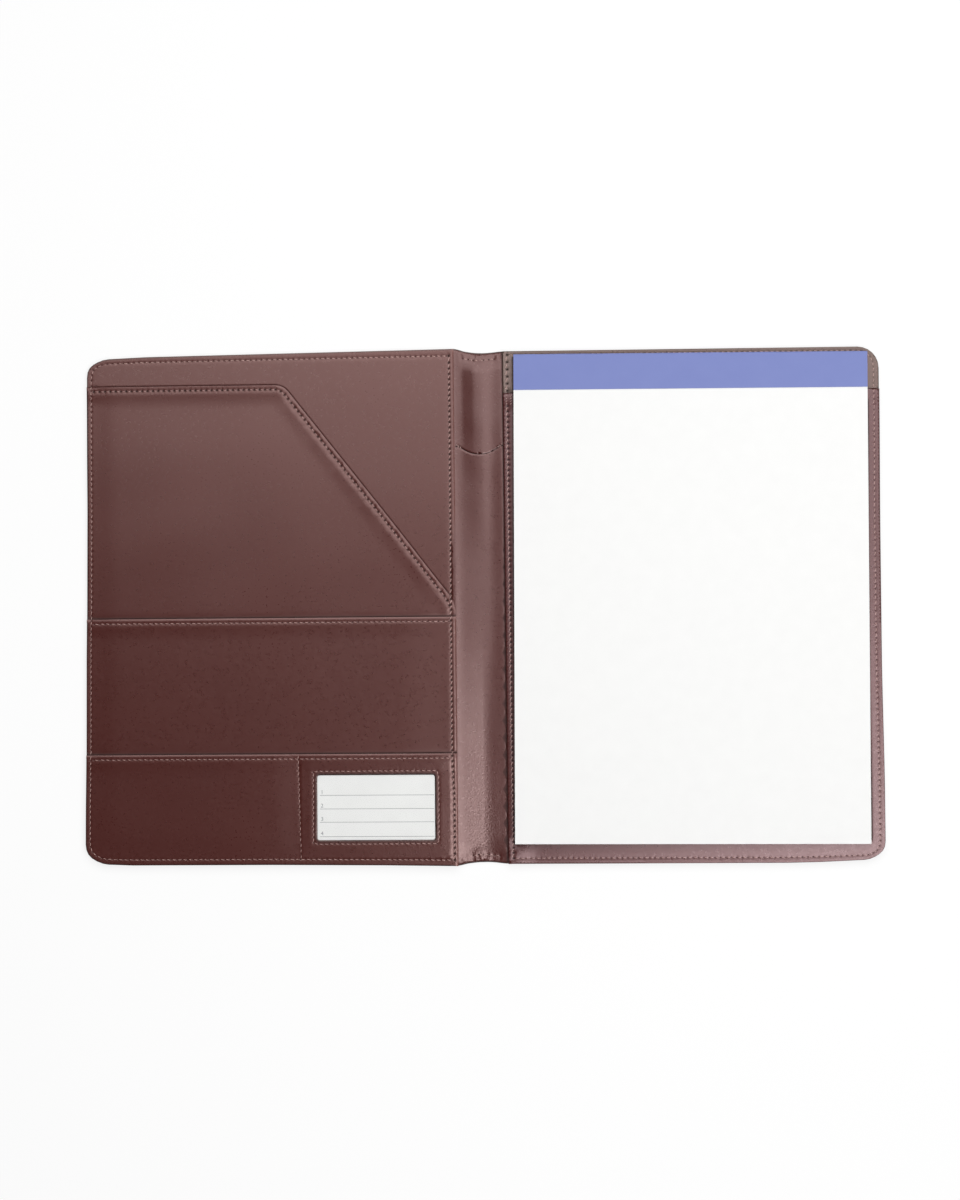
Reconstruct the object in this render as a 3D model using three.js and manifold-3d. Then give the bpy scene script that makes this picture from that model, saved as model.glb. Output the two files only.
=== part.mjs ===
// Leather portfolio for a letter-size writing pad, lying open and flat.
// Millimetres. X runs to the right, Y towards the top edge, Z up from the outer leather.
// The fold line of the spine is on X = 0, and the outer leather rests on Z = 0.

import * as THREE from 'three'
import { mergeVertices } from 'three/addons/utils/BufferGeometryUtils.js'
import Module from 'manifold-3d'

const wasm = await Module()
wasm.setup()

// Writing pad: letter-size sheets on a card back, bound by a paper band along the top
const PAD_WIDTH = 215.9
const PAD_HEIGHT = 298.45
const PAD_STACK = 4.2
const PAD_BACKING_THICKNESS = 0.8
const TOP_SHEET_THICKNESS = 0.2
const BAND_HEIGHT = 21.7
const BAND_BACK_HEIGHT = 17
const BAND_THICKNESS = 0.25
const CREASE_GAP = 0.4

// Wire staples that hold the pad together under its band
const STAPLE_WIDTH = 12.7
const STAPLE_FOOT = 4
const STAPLE_WIRE = 0.6
const STAPLE_SPACING = 108
const STAPLE_DROP = 9
const STAPLE_CLEARANCE = 0.3

// Margins between the pad and the edges of the back panel
const PAD_TOP_MARGIN = 3.7
const PAD_BOTTOM_MARGIN = 11.85
const PAD_INNER_MARGIN = 5.5
const PAD_OUTER_MARGIN = 7.6

// Covers: leather turned in over a board and lined
const GUTTER_WIDTH = 30
const HINGE_INSET = 1.5
const HINGE_GAP = 0.15
const CORNER_RADIUS = 13
const COVER_LEATHER = 0.9
const BOARD_THICKNESS = 1.9
const BOARD_CLEARANCE = 0.3
const TURN_IN_WIDTH = 12
const TURN_IN_THICKNESS = 0.4
const LINING_LEATHER = 0.6
const LINING_INSET = 0.3
const LAYER_STEP = 0.4
const GLUE = 0.05

// Pockets of the front panel and of the pad
const POCKET_LEATHER = 0.6
const POCKET_SLACK = 0.3
const POCKET_SEAM_WIDTH = 4
const DOCUMENT_POCKET_DROP = 17.5
const DOCUMENT_POCKET_LEVEL_RUN = 121
const DOCUMENT_UPPER_FILLET = 11
const DOCUMENT_LOWER_FILLET = 22
const DOCUMENT_TO_MIDDLE = 8.3
const MIDDLE_POCKET_RISE = 83.5
const PAD_POCKET_DROP_BELOW_BAND = 0.8

// Card and its window in the lower pocket
const CARD_WIDTH = 88.9
const CARD_HEIGHT = 50.8
const CARD_THICKNESS = 0.3
const CARD_SLACK = 0.15
const CARD_SIDE_CLEARANCE = 1.5
const CARD_BOTTOM_CLEARANCE = 0.5
const DIVIDER_SEAM_WIDTH = 2
const WINDOW_SIDE_LAP = 8.35
const WINDOW_TOP_LAP = 0.7
const WINDOW_BOTTOM_LAP = 10.5
const WINDOW_RADIUS = 1.5
const WINDOW_TO_MOUTH = 12.9
const FILM_THICKNESS = 0.2
const FILM_LAP = 3

// Seams
const THREAD_WIDTH = 0.7
const THREAD_HEIGHT = 0.25
const EDGE_SEAM_INSET = 3.4
const TOP_SEAM_INSET = 2.6
const INNER_SEAM_INSET = 3.2
const PAD_STRIP_SEAM_INSET = 2.4
const HEM_SEAM_INSET = 2.9
const WINDOW_SEAM_INSET = 2.4
const SEAM_END_GAP = 0.5

// Spine: soft lining over the spine leather, with a pen slit
const SPINE_END_HOLLOW = 2.3
const PUFF_HEIGHT = 3
const PUFF_HALF_WIDTH = 7
const PUFF_CENTRE = 1.5
const PUFF_FADE_START = 6
const PUFF_FADE_END = 24
const SLIT_DROP = 57.4
const SLIT_SAG = 5.2
const SLIT_WIDTH = 0.8
const SLIT_END_MARGIN = 1.4
const SPINE_SEAM_INSET = 4.4
const SPINE_SEAM_END_MARGIN = 2

// Steps along each round corner and along each curved seam or edge
const ARC_STEPS = 6
const CURVE_STEPS = 12

// Plan of the covers, worked out from the pad
const panelWidth = PAD_INNER_MARGIN + PAD_WIDTH + PAD_OUTER_MARGIN
const coverHeight = PAD_TOP_MARGIN + PAD_HEIGHT + PAD_BOTTOM_MARGIN
const innerEdge = GUTTER_WIDTH / 2
const outerEdge = innerEdge + panelWidth
const topEdge = coverHeight / 2
const bottomEdge = -coverHeight / 2
const hingeLine = innerEdge - HINGE_INSET
const middlePocketOuter = outerEdge - LAYER_STEP
const leatherOuter = outerEdge - 2 * LAYER_STEP

// Levels of the covers
const cavityTop = COVER_LEATHER + BOARD_THICKNESS + 2 * GLUE
const turnInTop = cavityTop + TURN_IN_THICKNESS
const liningBottom = turnInTop + GLUE
const liningTop = liningBottom + LINING_LEATHER

// Levels of the front pockets
const documentBottom = liningTop + POCKET_SLACK
const documentTop = documentBottom + POCKET_LEATHER
const middleBottom = documentTop + POCKET_SLACK
const middleTop = middleBottom + POCKET_LEATHER
const cardBottom = middleTop + CARD_SLACK
const filmBottom = cardBottom + CARD_THICKNESS + CARD_SLACK
const lowerBottom = filmBottom + FILM_THICKNESS + GLUE
const lowerTop = lowerBottom + POCKET_LEATHER

// Levels of the pad and of the pocket that its card back slides into
const bandBackBottom = liningTop + POCKET_SLACK
const backingBottom = bandBackBottom + BAND_THICKNESS + GLUE
const backingTop = backingBottom + PAD_BACKING_THICKNESS
const padPocketBottom = backingTop + POCKET_SLACK
const padPocketTop = padPocketBottom + POCKET_LEATHER
const sheetsBottom = padPocketTop + GLUE + THREAD_HEIGHT + POCKET_SLACK
const sheetsTop = sheetsBottom + PAD_STACK
const topSheetBottom = sheetsTop + GLUE
const topSheetTop = topSheetBottom + TOP_SHEET_THICKNESS
const bandFrontBottom = topSheetTop + GLUE
const bandFrontTop = bandFrontBottom + BAND_THICKNESS

// Plan of the pad
const padLeft = innerEdge + PAD_INNER_MARGIN
const padCentre = padLeft + PAD_WIDTH / 2
const padTop = topEdge - PAD_TOP_MARGIN
const padBottom = padTop - PAD_HEIGHT
const bandLower = padTop - BAND_HEIGHT
const padPocketMouth = bandLower - PAD_POCKET_DROP_BELOW_BAND

// Plan of the card pocket, worked out from the card that it holds
const cardRight = -(innerEdge + POCKET_SEAM_WIDTH + CARD_SIDE_CLEARANCE)
const cardLeft = cardRight - CARD_WIDTH
const cardLow = bottomEdge + POCKET_SEAM_WIDTH + CARD_BOTTOM_CLEARANCE
const cardHigh = cardLow + CARD_HEIGHT
const windowLeft = cardLeft + WINDOW_SIDE_LAP
const windowRight = cardRight - WINDOW_SIDE_LAP
const windowLow = cardLow + WINDOW_BOTTOM_LAP
const windowHigh = cardHigh - WINDOW_TOP_LAP
const dividerX = cardLeft - CARD_SIDE_CLEARANCE - DIVIDER_SEAM_WIDTH / 2
const lowerMouth = windowHigh + WINDOW_TO_MOUTH
const middleMouth = lowerMouth + MIDDLE_POCKET_RISE
const documentMouth = topEdge - DOCUMENT_POCKET_DROP

// The document pocket's mouth runs level, then down a straight diagonal to the inner edge
const diagonalStart = -outerEdge + DOCUMENT_POCKET_LEVEL_RUN
const diagonalEnd = middleMouth + DOCUMENT_TO_MIDDLE
const diagonalSlope = (documentMouth - diagonalEnd) / (-innerEdge - diagonalStart)

const diagonalHeight = (x, inset) =>
  documentMouth - (x - diagonalStart) * diagonalSlope - inset * Math.hypot(1, diagonalSlope)

// Materials
const material = (color, roughness, metalness = 0) =>
  new THREE.MeshStandardMaterial({ color, roughness, metalness })
const coverLeather = material('#5a3633', 0.45)
const liningLeather = material('#643f3c', 0.5)
const pocketLeather = material('#613c39', 0.48)
const boardCard = material('#a89a86', 0.9)
const backingCard = material('#b4a48c', 0.9)
const writingPaper = material('#f8f8f6', 0.85)
const cardPaper = material('#eeeeec', 0.75)
const bandPaper = material('#4a5593', 0.6)
const windowFilm = material('#e9edf0', 0.1)
const sewingThread = material('#6b4240', 0.75)
const stapleWire = material('#b9bcc0', 0.35, 1)

const portfolio = new THREE.Group()

function addPiece(name, geometry, pieceMaterial) {
  const mesh = new THREE.Mesh(geometry, pieceMaterial.clone())
  mesh.name = name
  portfolio.add(mesh)
}

// Cutting and joining closed meshes
function solidFrom(geometry) {
  const bare = geometry.clone()
  bare.deleteAttribute('normal')
  bare.deleteAttribute('uv')
  const merged = mergeVertices(bare, 1e-5)
  const vertProperties = new Float32Array(merged.attributes.position.array)
  const triVerts = new Uint32Array(merged.index.array)
  return new wasm.Manifold(new wasm.Mesh({ numProp: 3, vertProperties, triVerts }))
}

function geometryFrom(solid) {
  const mesh = solid.getMesh()
  const geometry = new THREE.BufferGeometry()
  geometry.setAttribute('position', new THREE.BufferAttribute(mesh.vertProperties, 3))
  geometry.setIndex(new THREE.BufferAttribute(mesh.triVerts, 1))
  geometry.computeVertexNormals()
  return geometry
}

// A flat plate with an outline given by points, from one level up to another.
// A hole follows the outline's direction, and is turned round to bound the opening.
function plate(outline, bottom, top, hole = null) {
  const shape = new THREE.Shape(outline)
  if (hole) shape.holes.push(new THREE.Path(hole.toReversed()))
  const geometry = new THREE.ExtrudeGeometry(shape, { depth: top - bottom, bevelEnabled: false })
  return geometry.translate(0, 0, bottom)
}

// Points of a path whose corners are given as [x, y, radius]; a corner without one stays sharp
function roundedPath(corners) {
  const count = corners.length
  return corners.flatMap(([x, y, radius = 0], index) => {
    const corner = new THREE.Vector2(x, y)
    if (radius <= 0) return [corner]
    const [beforeX, beforeY] = corners[(index + count - 1) % count]
    const [afterX, afterY] = corners[(index + 1) % count]
    const back = new THREE.Vector2(beforeX, beforeY).sub(corner).normalize()
    const ahead = new THREE.Vector2(afterX, afterY).sub(corner).normalize()
    const halfAngle = Math.acos(back.dot(ahead)) / 2
    const tangent = radius / Math.tan(halfAngle)
    const toCentre = back.clone().add(ahead).setLength(radius / Math.sin(halfAngle))
    const centre = corner.clone().add(toCentre)
    const startAngle = back.clone().multiplyScalar(tangent).sub(toCentre).angle()
    const endAngle = ahead.clone().multiplyScalar(tangent).sub(toCentre).angle()
    const turn = endAngle - startAngle
    const sweep = turn - 2 * Math.PI * Math.round(turn / (2 * Math.PI))
    return Array.from({ length: ARC_STEPS + 1 }, (_, step) => {
      const angle = startAngle + (sweep * step) / ARC_STEPS
      return new THREE.Vector2(Math.cos(angle), Math.sin(angle)).multiplyScalar(radius).add(centre)
    })
  })
}

// The path shifted to its left by a distance, with mitred corners
function shiftedPath(points, distance, closed) {
  const count = points.length
  return points.map((point, index) => {
    const before = closed || index > 0 ? points[(index + count - 1) % count] : null
    const after = closed || index < count - 1 ? points[(index + 1) % count] : null
    const incoming = point.clone().sub(before ?? point).normalize()
    const outgoing = (after ?? point).clone().sub(point).normalize()
    const first = before ? incoming : outgoing
    const second = after ? outgoing : incoming
    const normal = new THREE.Vector2(-first.y, first.x)
    const mitre = normal.clone().add(new THREE.Vector2(-second.y, second.x)).normalize()
    return point.clone().addScaledVector(mitre, distance / mitre.dot(normal))
  })
}

// A flat strip of one width along a path, such as a row of stitches or a bent wire
function strip(path, width, bottom, top, closed = false) {
  const left = shiftedPath(path, width / 2, closed)
  const right = shiftedPath(path, -width / 2, closed)
  if (!closed) return plate([...left, ...right.reverse()], bottom, top)
  const leftIsOutside = Math.abs(THREE.ShapeUtils.area(left)) > Math.abs(THREE.ShapeUtils.area(right))
  return leftIsOutside ? plate(left, bottom, top, right) : plate(right, bottom, top, left)
}

function seam(path, level, closed = false) {
  const bottom = level + GLUE
  return strip(path, THREAD_WIDTH, bottom, bottom + THREAD_HEIGHT, closed)
}

// Outline of a panel: square at the spine, round at the two outer corners. side is -1 or 1.
function panelOutline(side, inner, outer, inset = 0) {
  const radius = CORNER_RADIUS - inset
  return roundedPath([
    [side * inner, bottomEdge + inset],
    [side * (outer - inset), bottomEdge + inset, radius],
    [side * (outer - inset), topEdge - inset, radius],
    [side * inner, topEdge - inset],
  ])
}

// Outer leather with its turned-in edges, open towards the spine
function coverTray(side, outer) {
  const hinge = hingeLine + HINGE_GAP
  const board = innerEdge
  const wrap = solidFrom(plate(panelOutline(side, board, outer), 0, turnInTop))
  const flap = solidFrom(plate(
    [
      new THREE.Vector2(side * hinge, bottomEdge),
      new THREE.Vector2(side * (board + CORNER_RADIUS), bottomEdge),
      new THREE.Vector2(side * (board + CORNER_RADIUS), topEdge),
      new THREE.Vector2(side * hinge, topEdge),
    ], 0, COVER_LEATHER))
  const cavity = solidFrom(plate(
    panelOutline(side, hinge - CORNER_RADIUS, outer, COVER_LEATHER), COVER_LEATHER, cavityTop))
  const opening = solidFrom(plate(
    panelOutline(side, hinge - CORNER_RADIUS, outer, TURN_IN_WIDTH), cavityTop - TURN_IN_THICKNESS,
    turnInTop + TURN_IN_THICKNESS))
  return geometryFrom(wrap.add(flap).subtract(cavity).subtract(opening))
}

function coverBoard(side, outer) {
  const outline = panelOutline(side, innerEdge, outer, COVER_LEATHER + BOARD_CLEARANCE)
  return plate(outline, COVER_LEATHER + GLUE, cavityTop - GLUE)
}

function coverLining(side, outer) {
  return plate(panelOutline(side, innerEdge, outer, LINING_INSET), liningBottom, liningTop)
}

// A pocket is a plate that stands clear of what is under it, with lips along its sewn edges
function pocket(outline, roomOutlines, seat, bottom, top) {
  const block = solidFrom(plate(outline, seat + GLUE, top))
  const rooms = roomOutlines.map((room) => solidFrom(plate(room, seat - POCKET_LEATHER, bottom)))
  return rooms.reduce((solid, room) => solid.subtract(room), block)
}

// Room inside a front pocket between its side seams, running on past its mouth
function frontPocketRoom(left, right) {
  const low = bottomEdge + POCKET_SEAM_WIDTH
  return roundedPath([
    [left, low, left < dividerX ? CORNER_RADIUS - POCKET_SEAM_WIDTH : 0],
    [right, low],
    [right, topEdge],
    [left, topEdge],
  ])
}

// Front pockets

function addDocumentPocket() {
  const outline = roundedPath([
    [-innerEdge, bottomEdge],
    [-leatherOuter, bottomEdge, CORNER_RADIUS],
    [-leatherOuter, documentMouth],
    [diagonalStart, documentMouth, DOCUMENT_UPPER_FILLET],
    [-innerEdge, diagonalEnd, DOCUMENT_LOWER_FILLET],
  ])
  const room = frontPocketRoom(-leatherOuter + POCKET_SEAM_WIDTH, -innerEdge - POCKET_SEAM_WIDTH)
  addPiece('document_pocket',
    geometryFrom(pocket(outline, [room], liningTop, documentBottom, documentTop)), pocketLeather)

  const seamRight = -innerEdge - INNER_SEAM_INSET
  const seamLeft = -outerEdge + EDGE_SEAM_INSET
  const hemShift = HEM_SEAM_INSET * (1 - Math.hypot(1, diagonalSlope)) / diagonalSlope
  const low = middleMouth + SEAM_END_GAP
  const path = roundedPath([
    [seamLeft, low],
    [seamLeft, documentMouth - HEM_SEAM_INSET],
    [diagonalStart + hemShift, documentMouth - HEM_SEAM_INSET, DOCUMENT_UPPER_FILLET - HEM_SEAM_INSET],
    [seamRight, diagonalHeight(seamRight, HEM_SEAM_INSET), THREAD_WIDTH],
    [seamRight, low],
  ])
  addPiece('document_pocket_thread', seam(path, documentTop), sewingThread)
}

function addMiddlePocket() {
  const outline = roundedPath([
    [-innerEdge, bottomEdge],
    [-middlePocketOuter, bottomEdge, CORNER_RADIUS],
    [-middlePocketOuter, middleMouth],
    [-innerEdge, middleMouth],
  ])
  const room = frontPocketRoom(-middlePocketOuter + POCKET_SEAM_WIDTH, -innerEdge - POCKET_SEAM_WIDTH)
  addPiece('middle_pocket',
    geometryFrom(pocket(outline, [room], documentTop, middleBottom, middleTop)), pocketLeather)

  const low = lowerMouth + SEAM_END_GAP
  const hem = middleMouth - HEM_SEAM_INSET
  const path = roundedPath([
    [-outerEdge + EDGE_SEAM_INSET, low],
    [-outerEdge + EDGE_SEAM_INSET, hem],
    [-innerEdge - INNER_SEAM_INSET, hem],
    [-innerEdge - INNER_SEAM_INSET, low],
  ])
  addPiece('middle_pocket_thread', seam(path, middleTop), sewingThread)
}

function rectanglePath(left, right, low, high, radius = 0) {
  return roundedPath([
    [left, low, radius],
    [right, low, radius],
    [right, high, radius],
    [left, high, radius],
  ])
}

function addLowerPocket() {
  const outline = roundedPath([
    [-innerEdge, bottomEdge],
    [-outerEdge, bottomEdge, CORNER_RADIUS],
    [-outerEdge, lowerMouth],
    [-innerEdge, lowerMouth],
  ])
  const dividerHalf = DIVIDER_SEAM_WIDTH / 2
  const rooms = [
    frontPocketRoom(-outerEdge + POCKET_SEAM_WIDTH, dividerX - dividerHalf),
    frontPocketRoom(dividerX + dividerHalf, -innerEdge - POCKET_SEAM_WIDTH),
  ]
  const window = solidFrom(plate(
    rectanglePath(windowLeft, windowRight, windowLow, windowHigh, WINDOW_RADIUS),
    middleTop, lowerTop + POCKET_LEATHER))
  const leather = pocket(outline, rooms, middleTop, lowerBottom, lowerTop).subtract(window)
  addPiece('lower_pocket', geometryFrom(leather), pocketLeather)

  const hem = lowerMouth - HEM_SEAM_INSET
  const low = bottomEdge + EDGE_SEAM_INSET
  const seamPath = roundedPath([
    [-innerEdge - INNER_SEAM_INSET, low],
    [-outerEdge + EDGE_SEAM_INSET, low, CORNER_RADIUS - EDGE_SEAM_INSET],
    [-outerEdge + EDGE_SEAM_INSET, hem],
    [-innerEdge - INNER_SEAM_INSET, hem],
  ])
  addPiece('lower_pocket_thread', seam(seamPath, lowerTop, true), sewingThread)

  const dividerPath = [
    new THREE.Vector2(dividerX, low + THREAD_WIDTH / 2 + SEAM_END_GAP),
    new THREE.Vector2(dividerX, hem - THREAD_WIDTH / 2 - SEAM_END_GAP),
  ]
  addPiece('divider_thread', seam(dividerPath, lowerTop), sewingThread)

  const windowSeam = rectanglePath(
    windowLeft - WINDOW_SEAM_INSET, windowRight + WINDOW_SEAM_INSET,
    windowLow - WINDOW_SEAM_INSET, windowHigh + WINDOW_SEAM_INSET)
  addPiece('window_thread', seam(windowSeam, lowerTop, true), sewingThread)
}

function addCardAndFilm() {
  const film = rectanglePath(
    windowLeft - FILM_LAP, windowRight + FILM_LAP, windowLow - FILM_LAP, windowHigh + FILM_LAP)
  addPiece('window_film', plate(film, filmBottom, filmBottom + FILM_THICKNESS), windowFilm)
  const card = rectanglePath(cardLeft, cardRight, cardLow, cardHigh)
  addPiece('id_card', plate(card, cardBottom, cardBottom + CARD_THICKNESS), cardPaper)
}

// Seam of the front panel on its bare lining, above the document pocket
function addFrontEdgeThread() {
  const seamLeft = -outerEdge + EDGE_SEAM_INSET
  const seamRight = -innerEdge - INNER_SEAM_INSET
  const path = roundedPath([
    [seamLeft, documentMouth + SEAM_END_GAP],
    [seamLeft, topEdge - TOP_SEAM_INSET, CORNER_RADIUS - EDGE_SEAM_INSET],
    [seamRight, topEdge - TOP_SEAM_INSET],
    [seamRight, diagonalHeight(seamRight - THREAD_WIDTH, -SEAM_END_GAP)],
  ])
  addPiece('front_edge_thread', seam(path, liningTop), sewingThread)
}

// Back panel: pad pocket and its seams

function addPadPocket() {
  const outline = roundedPath([
    [innerEdge, bottomEdge],
    [outerEdge, bottomEdge, CORNER_RADIUS],
    [outerEdge, padPocketMouth],
    [innerEdge, padPocketMouth],
  ])
  const seamInner = innerEdge + POCKET_SEAM_WIDTH
  const seamOuter = outerEdge - POCKET_SEAM_WIDTH
  const room = roundedPath([
    [seamInner, bottomEdge + POCKET_SEAM_WIDTH],
    [seamOuter, bottomEdge + POCKET_SEAM_WIDTH, CORNER_RADIUS - POCKET_SEAM_WIDTH],
    [seamOuter, topEdge],
    [seamInner, topEdge],
  ])
  addPiece('pad_pocket',
    geometryFrom(pocket(outline, [room], liningTop, padPocketBottom, padPocketTop)), pocketLeather)

  const inner = innerEdge + PAD_STRIP_SEAM_INSET
  const outer = outerEdge - EDGE_SEAM_INSET
  const low = bottomEdge + EDGE_SEAM_INSET
  const hem = padPocketMouth - HEM_SEAM_INSET
  const pocketSeam = roundedPath([
    [inner, low],
    [outer, low, CORNER_RADIUS - EDGE_SEAM_INSET],
    [outer, hem],
    [inner, hem],
  ])
  addPiece('pad_pocket_thread', seam(pocketSeam, padPocketTop, true), sewingThread)

  const start = padPocketMouth + SEAM_END_GAP
  const edgeSeam = roundedPath([
    [inner, start],
    [inner, topEdge - TOP_SEAM_INSET],
    [outer, topEdge - TOP_SEAM_INSET, CORNER_RADIUS - EDGE_SEAM_INSET],
    [outer, start],
  ])
  addPiece('back_edge_thread', seam(edgeSeam, liningTop), sewingThread)
}

// Writing pad

// A bar along the pad's width whose cross-section is given as points [y, z]
function padBar(section) {
  const outline = section.map(([y, z]) => new THREE.Vector2(y, z))
  const shape = new THREE.Shape(outline)
  const geometry = new THREE.ExtrudeGeometry(shape, { depth: PAD_WIDTH, bevelEnabled: false })
  return geometry.rotateY(Math.PI / 2).rotateX(Math.PI / 2).translate(padLeft, 0, 0)
}

// One staple seen from the front: crown on top, two legs, and feet bent in under the card back
function staple(centreX, clearance) {
  const half = STAPLE_WIDTH / 2
  const crown = topSheetTop - GLUE - STAPLE_WIRE / 2
  const foot = backingBottom + GLUE + STAPLE_WIRE / 2
  const footEnd = half - STAPLE_FOOT - clearance
  const path = [
    new THREE.Vector2(-footEnd, foot),
    new THREE.Vector2(-half, foot),
    new THREE.Vector2(-half, crown),
    new THREE.Vector2(half, crown),
    new THREE.Vector2(half, foot),
    new THREE.Vector2(footEnd, foot),
  ]
  const reach = STAPLE_WIRE / 2 + clearance
  const wire = strip(path, 2 * reach, -reach, reach)
  return wire.rotateX(Math.PI / 2).translate(centreX, padTop - STAPLE_DROP, 0)
}

function addWritingPad() {
  const sheetSection = [
    [padBottom, sheetsBottom],
    [bandLower, sheetsBottom],
    [bandLower, backingTop + GLUE],
    [padTop, backingTop + GLUE],
    [padTop, topSheetTop],
    [bandLower, topSheetTop],
    [bandLower, sheetsTop],
    [padBottom, sheetsTop],
  ]
  const backingSection = [
    [padBottom, backingBottom],
    [padTop, backingBottom],
    [padTop, backingTop],
    [padBottom, backingTop],
  ]
  const bandEdge = padTop + GLUE
  const bandSection = [
    [bandLower, bandFrontBottom],
    [bandEdge, bandFrontBottom],
    [bandEdge, bandBackBottom + BAND_THICKNESS],
    [padTop - BAND_BACK_HEIGHT, bandBackBottom + BAND_THICKNESS],
    [padTop - BAND_BACK_HEIGHT, bandBackBottom],
    [bandEdge + BAND_THICKNESS, bandBackBottom],
    [bandEdge + BAND_THICKNESS, bandFrontTop],
    [bandLower, bandFrontTop],
  ]
  const stapleCentres = {
    left: padCentre - STAPLE_SPACING / 2,
    right: padCentre + STAPLE_SPACING / 2,
  }
  let sheets = solidFrom(padBar(sheetSection))
  let backing = solidFrom(padBar(backingSection))
  for (const [side, centreX] of Object.entries(stapleCentres)) {
    const hole = solidFrom(staple(centreX, STAPLE_CLEARANCE))
    sheets = sheets.subtract(hole)
    backing = backing.subtract(hole)
    addPiece(`binding_staple_${side}`, staple(centreX, 0), stapleWire)
  }
  addPiece('pad_sheets', geometryFrom(sheets), writingPaper)
  addPiece('pad_backing', geometryFrom(backing), backingCard)
  addPiece('pad_binding_band', padBar(bandSection), bandPaper)

  const topSheet = rectanglePath(padLeft, padLeft + PAD_WIDTH, padBottom, bandLower - CREASE_GAP)
  addPiece('top_sheet', plate(topSheet, topSheetBottom, topSheetTop), writingPaper)
}

// Spine

// How far the hollow ends of the spine fall back from the covers' edges at a given x
const spineHollow = (x) => SPINE_END_HOLLOW * (1 - (x / hingeLine) ** 2)
const spineHalfWidth = hingeLine - HINGE_GAP

const acrossSpine = (halfWidth, steps) =>
  Array.from({ length: steps + 1 }, (_, step) => -halfWidth + (2 * halfWidth * step) / steps)

function spineEndPath(end, inset, halfWidth) {
  return acrossSpine(halfWidth, CURVE_STEPS).map(
    (x) => new THREE.Vector2(x, end * (topEdge - inset - spineHollow(x))))
}

function addSpineLeather() {
  const outline = [
    ...spineEndPath(-1, 0, spineHalfWidth),
    ...spineEndPath(1, 0, spineHalfWidth).reverse(),
  ]
  addPiece('spine_leather', plate(outline, 0, COVER_LEATHER), coverLeather)
}

// Height that the soft lining puffs up over the spine leather
function puff(x, distanceFromEnd) {
  const across = Math.min(Math.abs(x - PUFF_CENTRE) / PUFF_HALF_WIDTH, 1)
  const fade = THREE.MathUtils.smoothstep(distanceFromEnd, PUFF_FADE_START, PUFF_FADE_END)
  return PUFF_HEIGHT * fade * Math.cos((across * Math.PI) / 2) ** 2
}

// A closed sheet over a grid of rows along Y and columns along X
function spineLiningSheet() {
  const fadeSteps = 4
  const distances = [0]
  for (let step = 0; step <= fadeSteps; step += 1) {
    distances.push(PUFF_FADE_START + ((PUFF_FADE_END - PUFF_FADE_START) * step) / fadeSteps)
  }
  const rows = [
    ...distances.map((distance) => ({ end: -1, distance })),
    ...distances.toReversed().map((distance) => ({ end: 1, distance })),
  ]
  const columns = acrossSpine(spineHalfWidth, CURVE_STEPS + 6)
  const positions = []
  for (const thickness of [0, LINING_LEATHER]) {
    for (const { end, distance } of rows) {
      for (const x of columns) {
        const level = COVER_LEATHER + GLUE + puff(x, distance) + thickness
        positions.push(x, end * (topEdge - spineHollow(x) - distance), level)
      }
    }
  }
  const width = columns.length
  const layer = width * rows.length
  const index = []
  const quad = (a, b, c, d) => index.push(a, b, c, a, c, d)
  for (let row = 0; row < rows.length - 1; row += 1) {
    for (let column = 0; column < width - 1; column += 1) {
      const corner = row * width + column
      quad(corner, corner + width, corner + width + 1, corner + 1)
      quad(corner + layer, corner + layer + 1, corner + layer + width + 1, corner + layer + width)
    }
    const left = row * width
    const right = left + width - 1
    quad(left, left + layer, left + layer + width, left + width)
    quad(right, right + width, right + width + layer, right + layer)
  }
  const lastRow = (rows.length - 1) * width
  for (let column = 0; column < width - 1; column += 1) {
    quad(column, column + 1, column + 1 + layer, column + layer)
    const far = lastRow + column
    quad(far, far + layer, far + layer + 1, far + 1)
  }
  const geometry = new THREE.BufferGeometry()
  geometry.setAttribute('position', new THREE.Float32BufferAttribute(positions, 3))
  geometry.setIndex(index)
  return geometry
}

function addSpineLining() {
  const slitHalf = spineHalfWidth - SLIT_END_MARGIN
  const slitPath = acrossSpine(slitHalf, CURVE_STEPS).map((x) => new THREE.Vector2(
    x, topEdge - SLIT_DROP - SLIT_SAG * (1 - (x / slitHalf) ** 2)))
  const slitTop = COVER_LEATHER + PUFF_HEIGHT + 2 * LINING_LEATHER
  const slit = solidFrom(strip(slitPath, SLIT_WIDTH, 0, slitTop))
  addPiece('spine_lining', geometryFrom(solidFrom(spineLiningSheet()).subtract(slit)), liningLeather)

  const seamLevel = COVER_LEATHER + GLUE + LINING_LEATHER
  const seamHalf = spineHalfWidth - SPINE_SEAM_END_MARGIN
  addPiece('spine_top_thread', seam(spineEndPath(1, SPINE_SEAM_INSET, seamHalf), seamLevel), sewingThread)
  addPiece('spine_bottom_thread', seam(spineEndPath(-1, SPINE_SEAM_INSET, seamHalf), seamLevel), sewingThread)
}

// Assembly
addPiece('front_cover_leather', coverTray(-1, leatherOuter), coverLeather)
addPiece('front_board', coverBoard(-1, leatherOuter), boardCard)
addPiece('front_lining', coverLining(-1, leatherOuter), liningLeather)
addPiece('back_cover_leather', coverTray(1, outerEdge), coverLeather)
addPiece('back_board', coverBoard(1, outerEdge), boardCard)
addPiece('back_lining', coverLining(1, outerEdge), liningLeather)
addFrontEdgeThread()
addDocumentPocket()
addMiddlePocket()
addLowerPocket()
addCardAndFilm()
addPadPocket()
addWritingPad()
addSpineLeather()
addSpineLining()

export default portfolio
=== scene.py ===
import math

import bmesh
import bpy
import numpy as np
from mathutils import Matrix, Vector, geometry, kdtree


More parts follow.
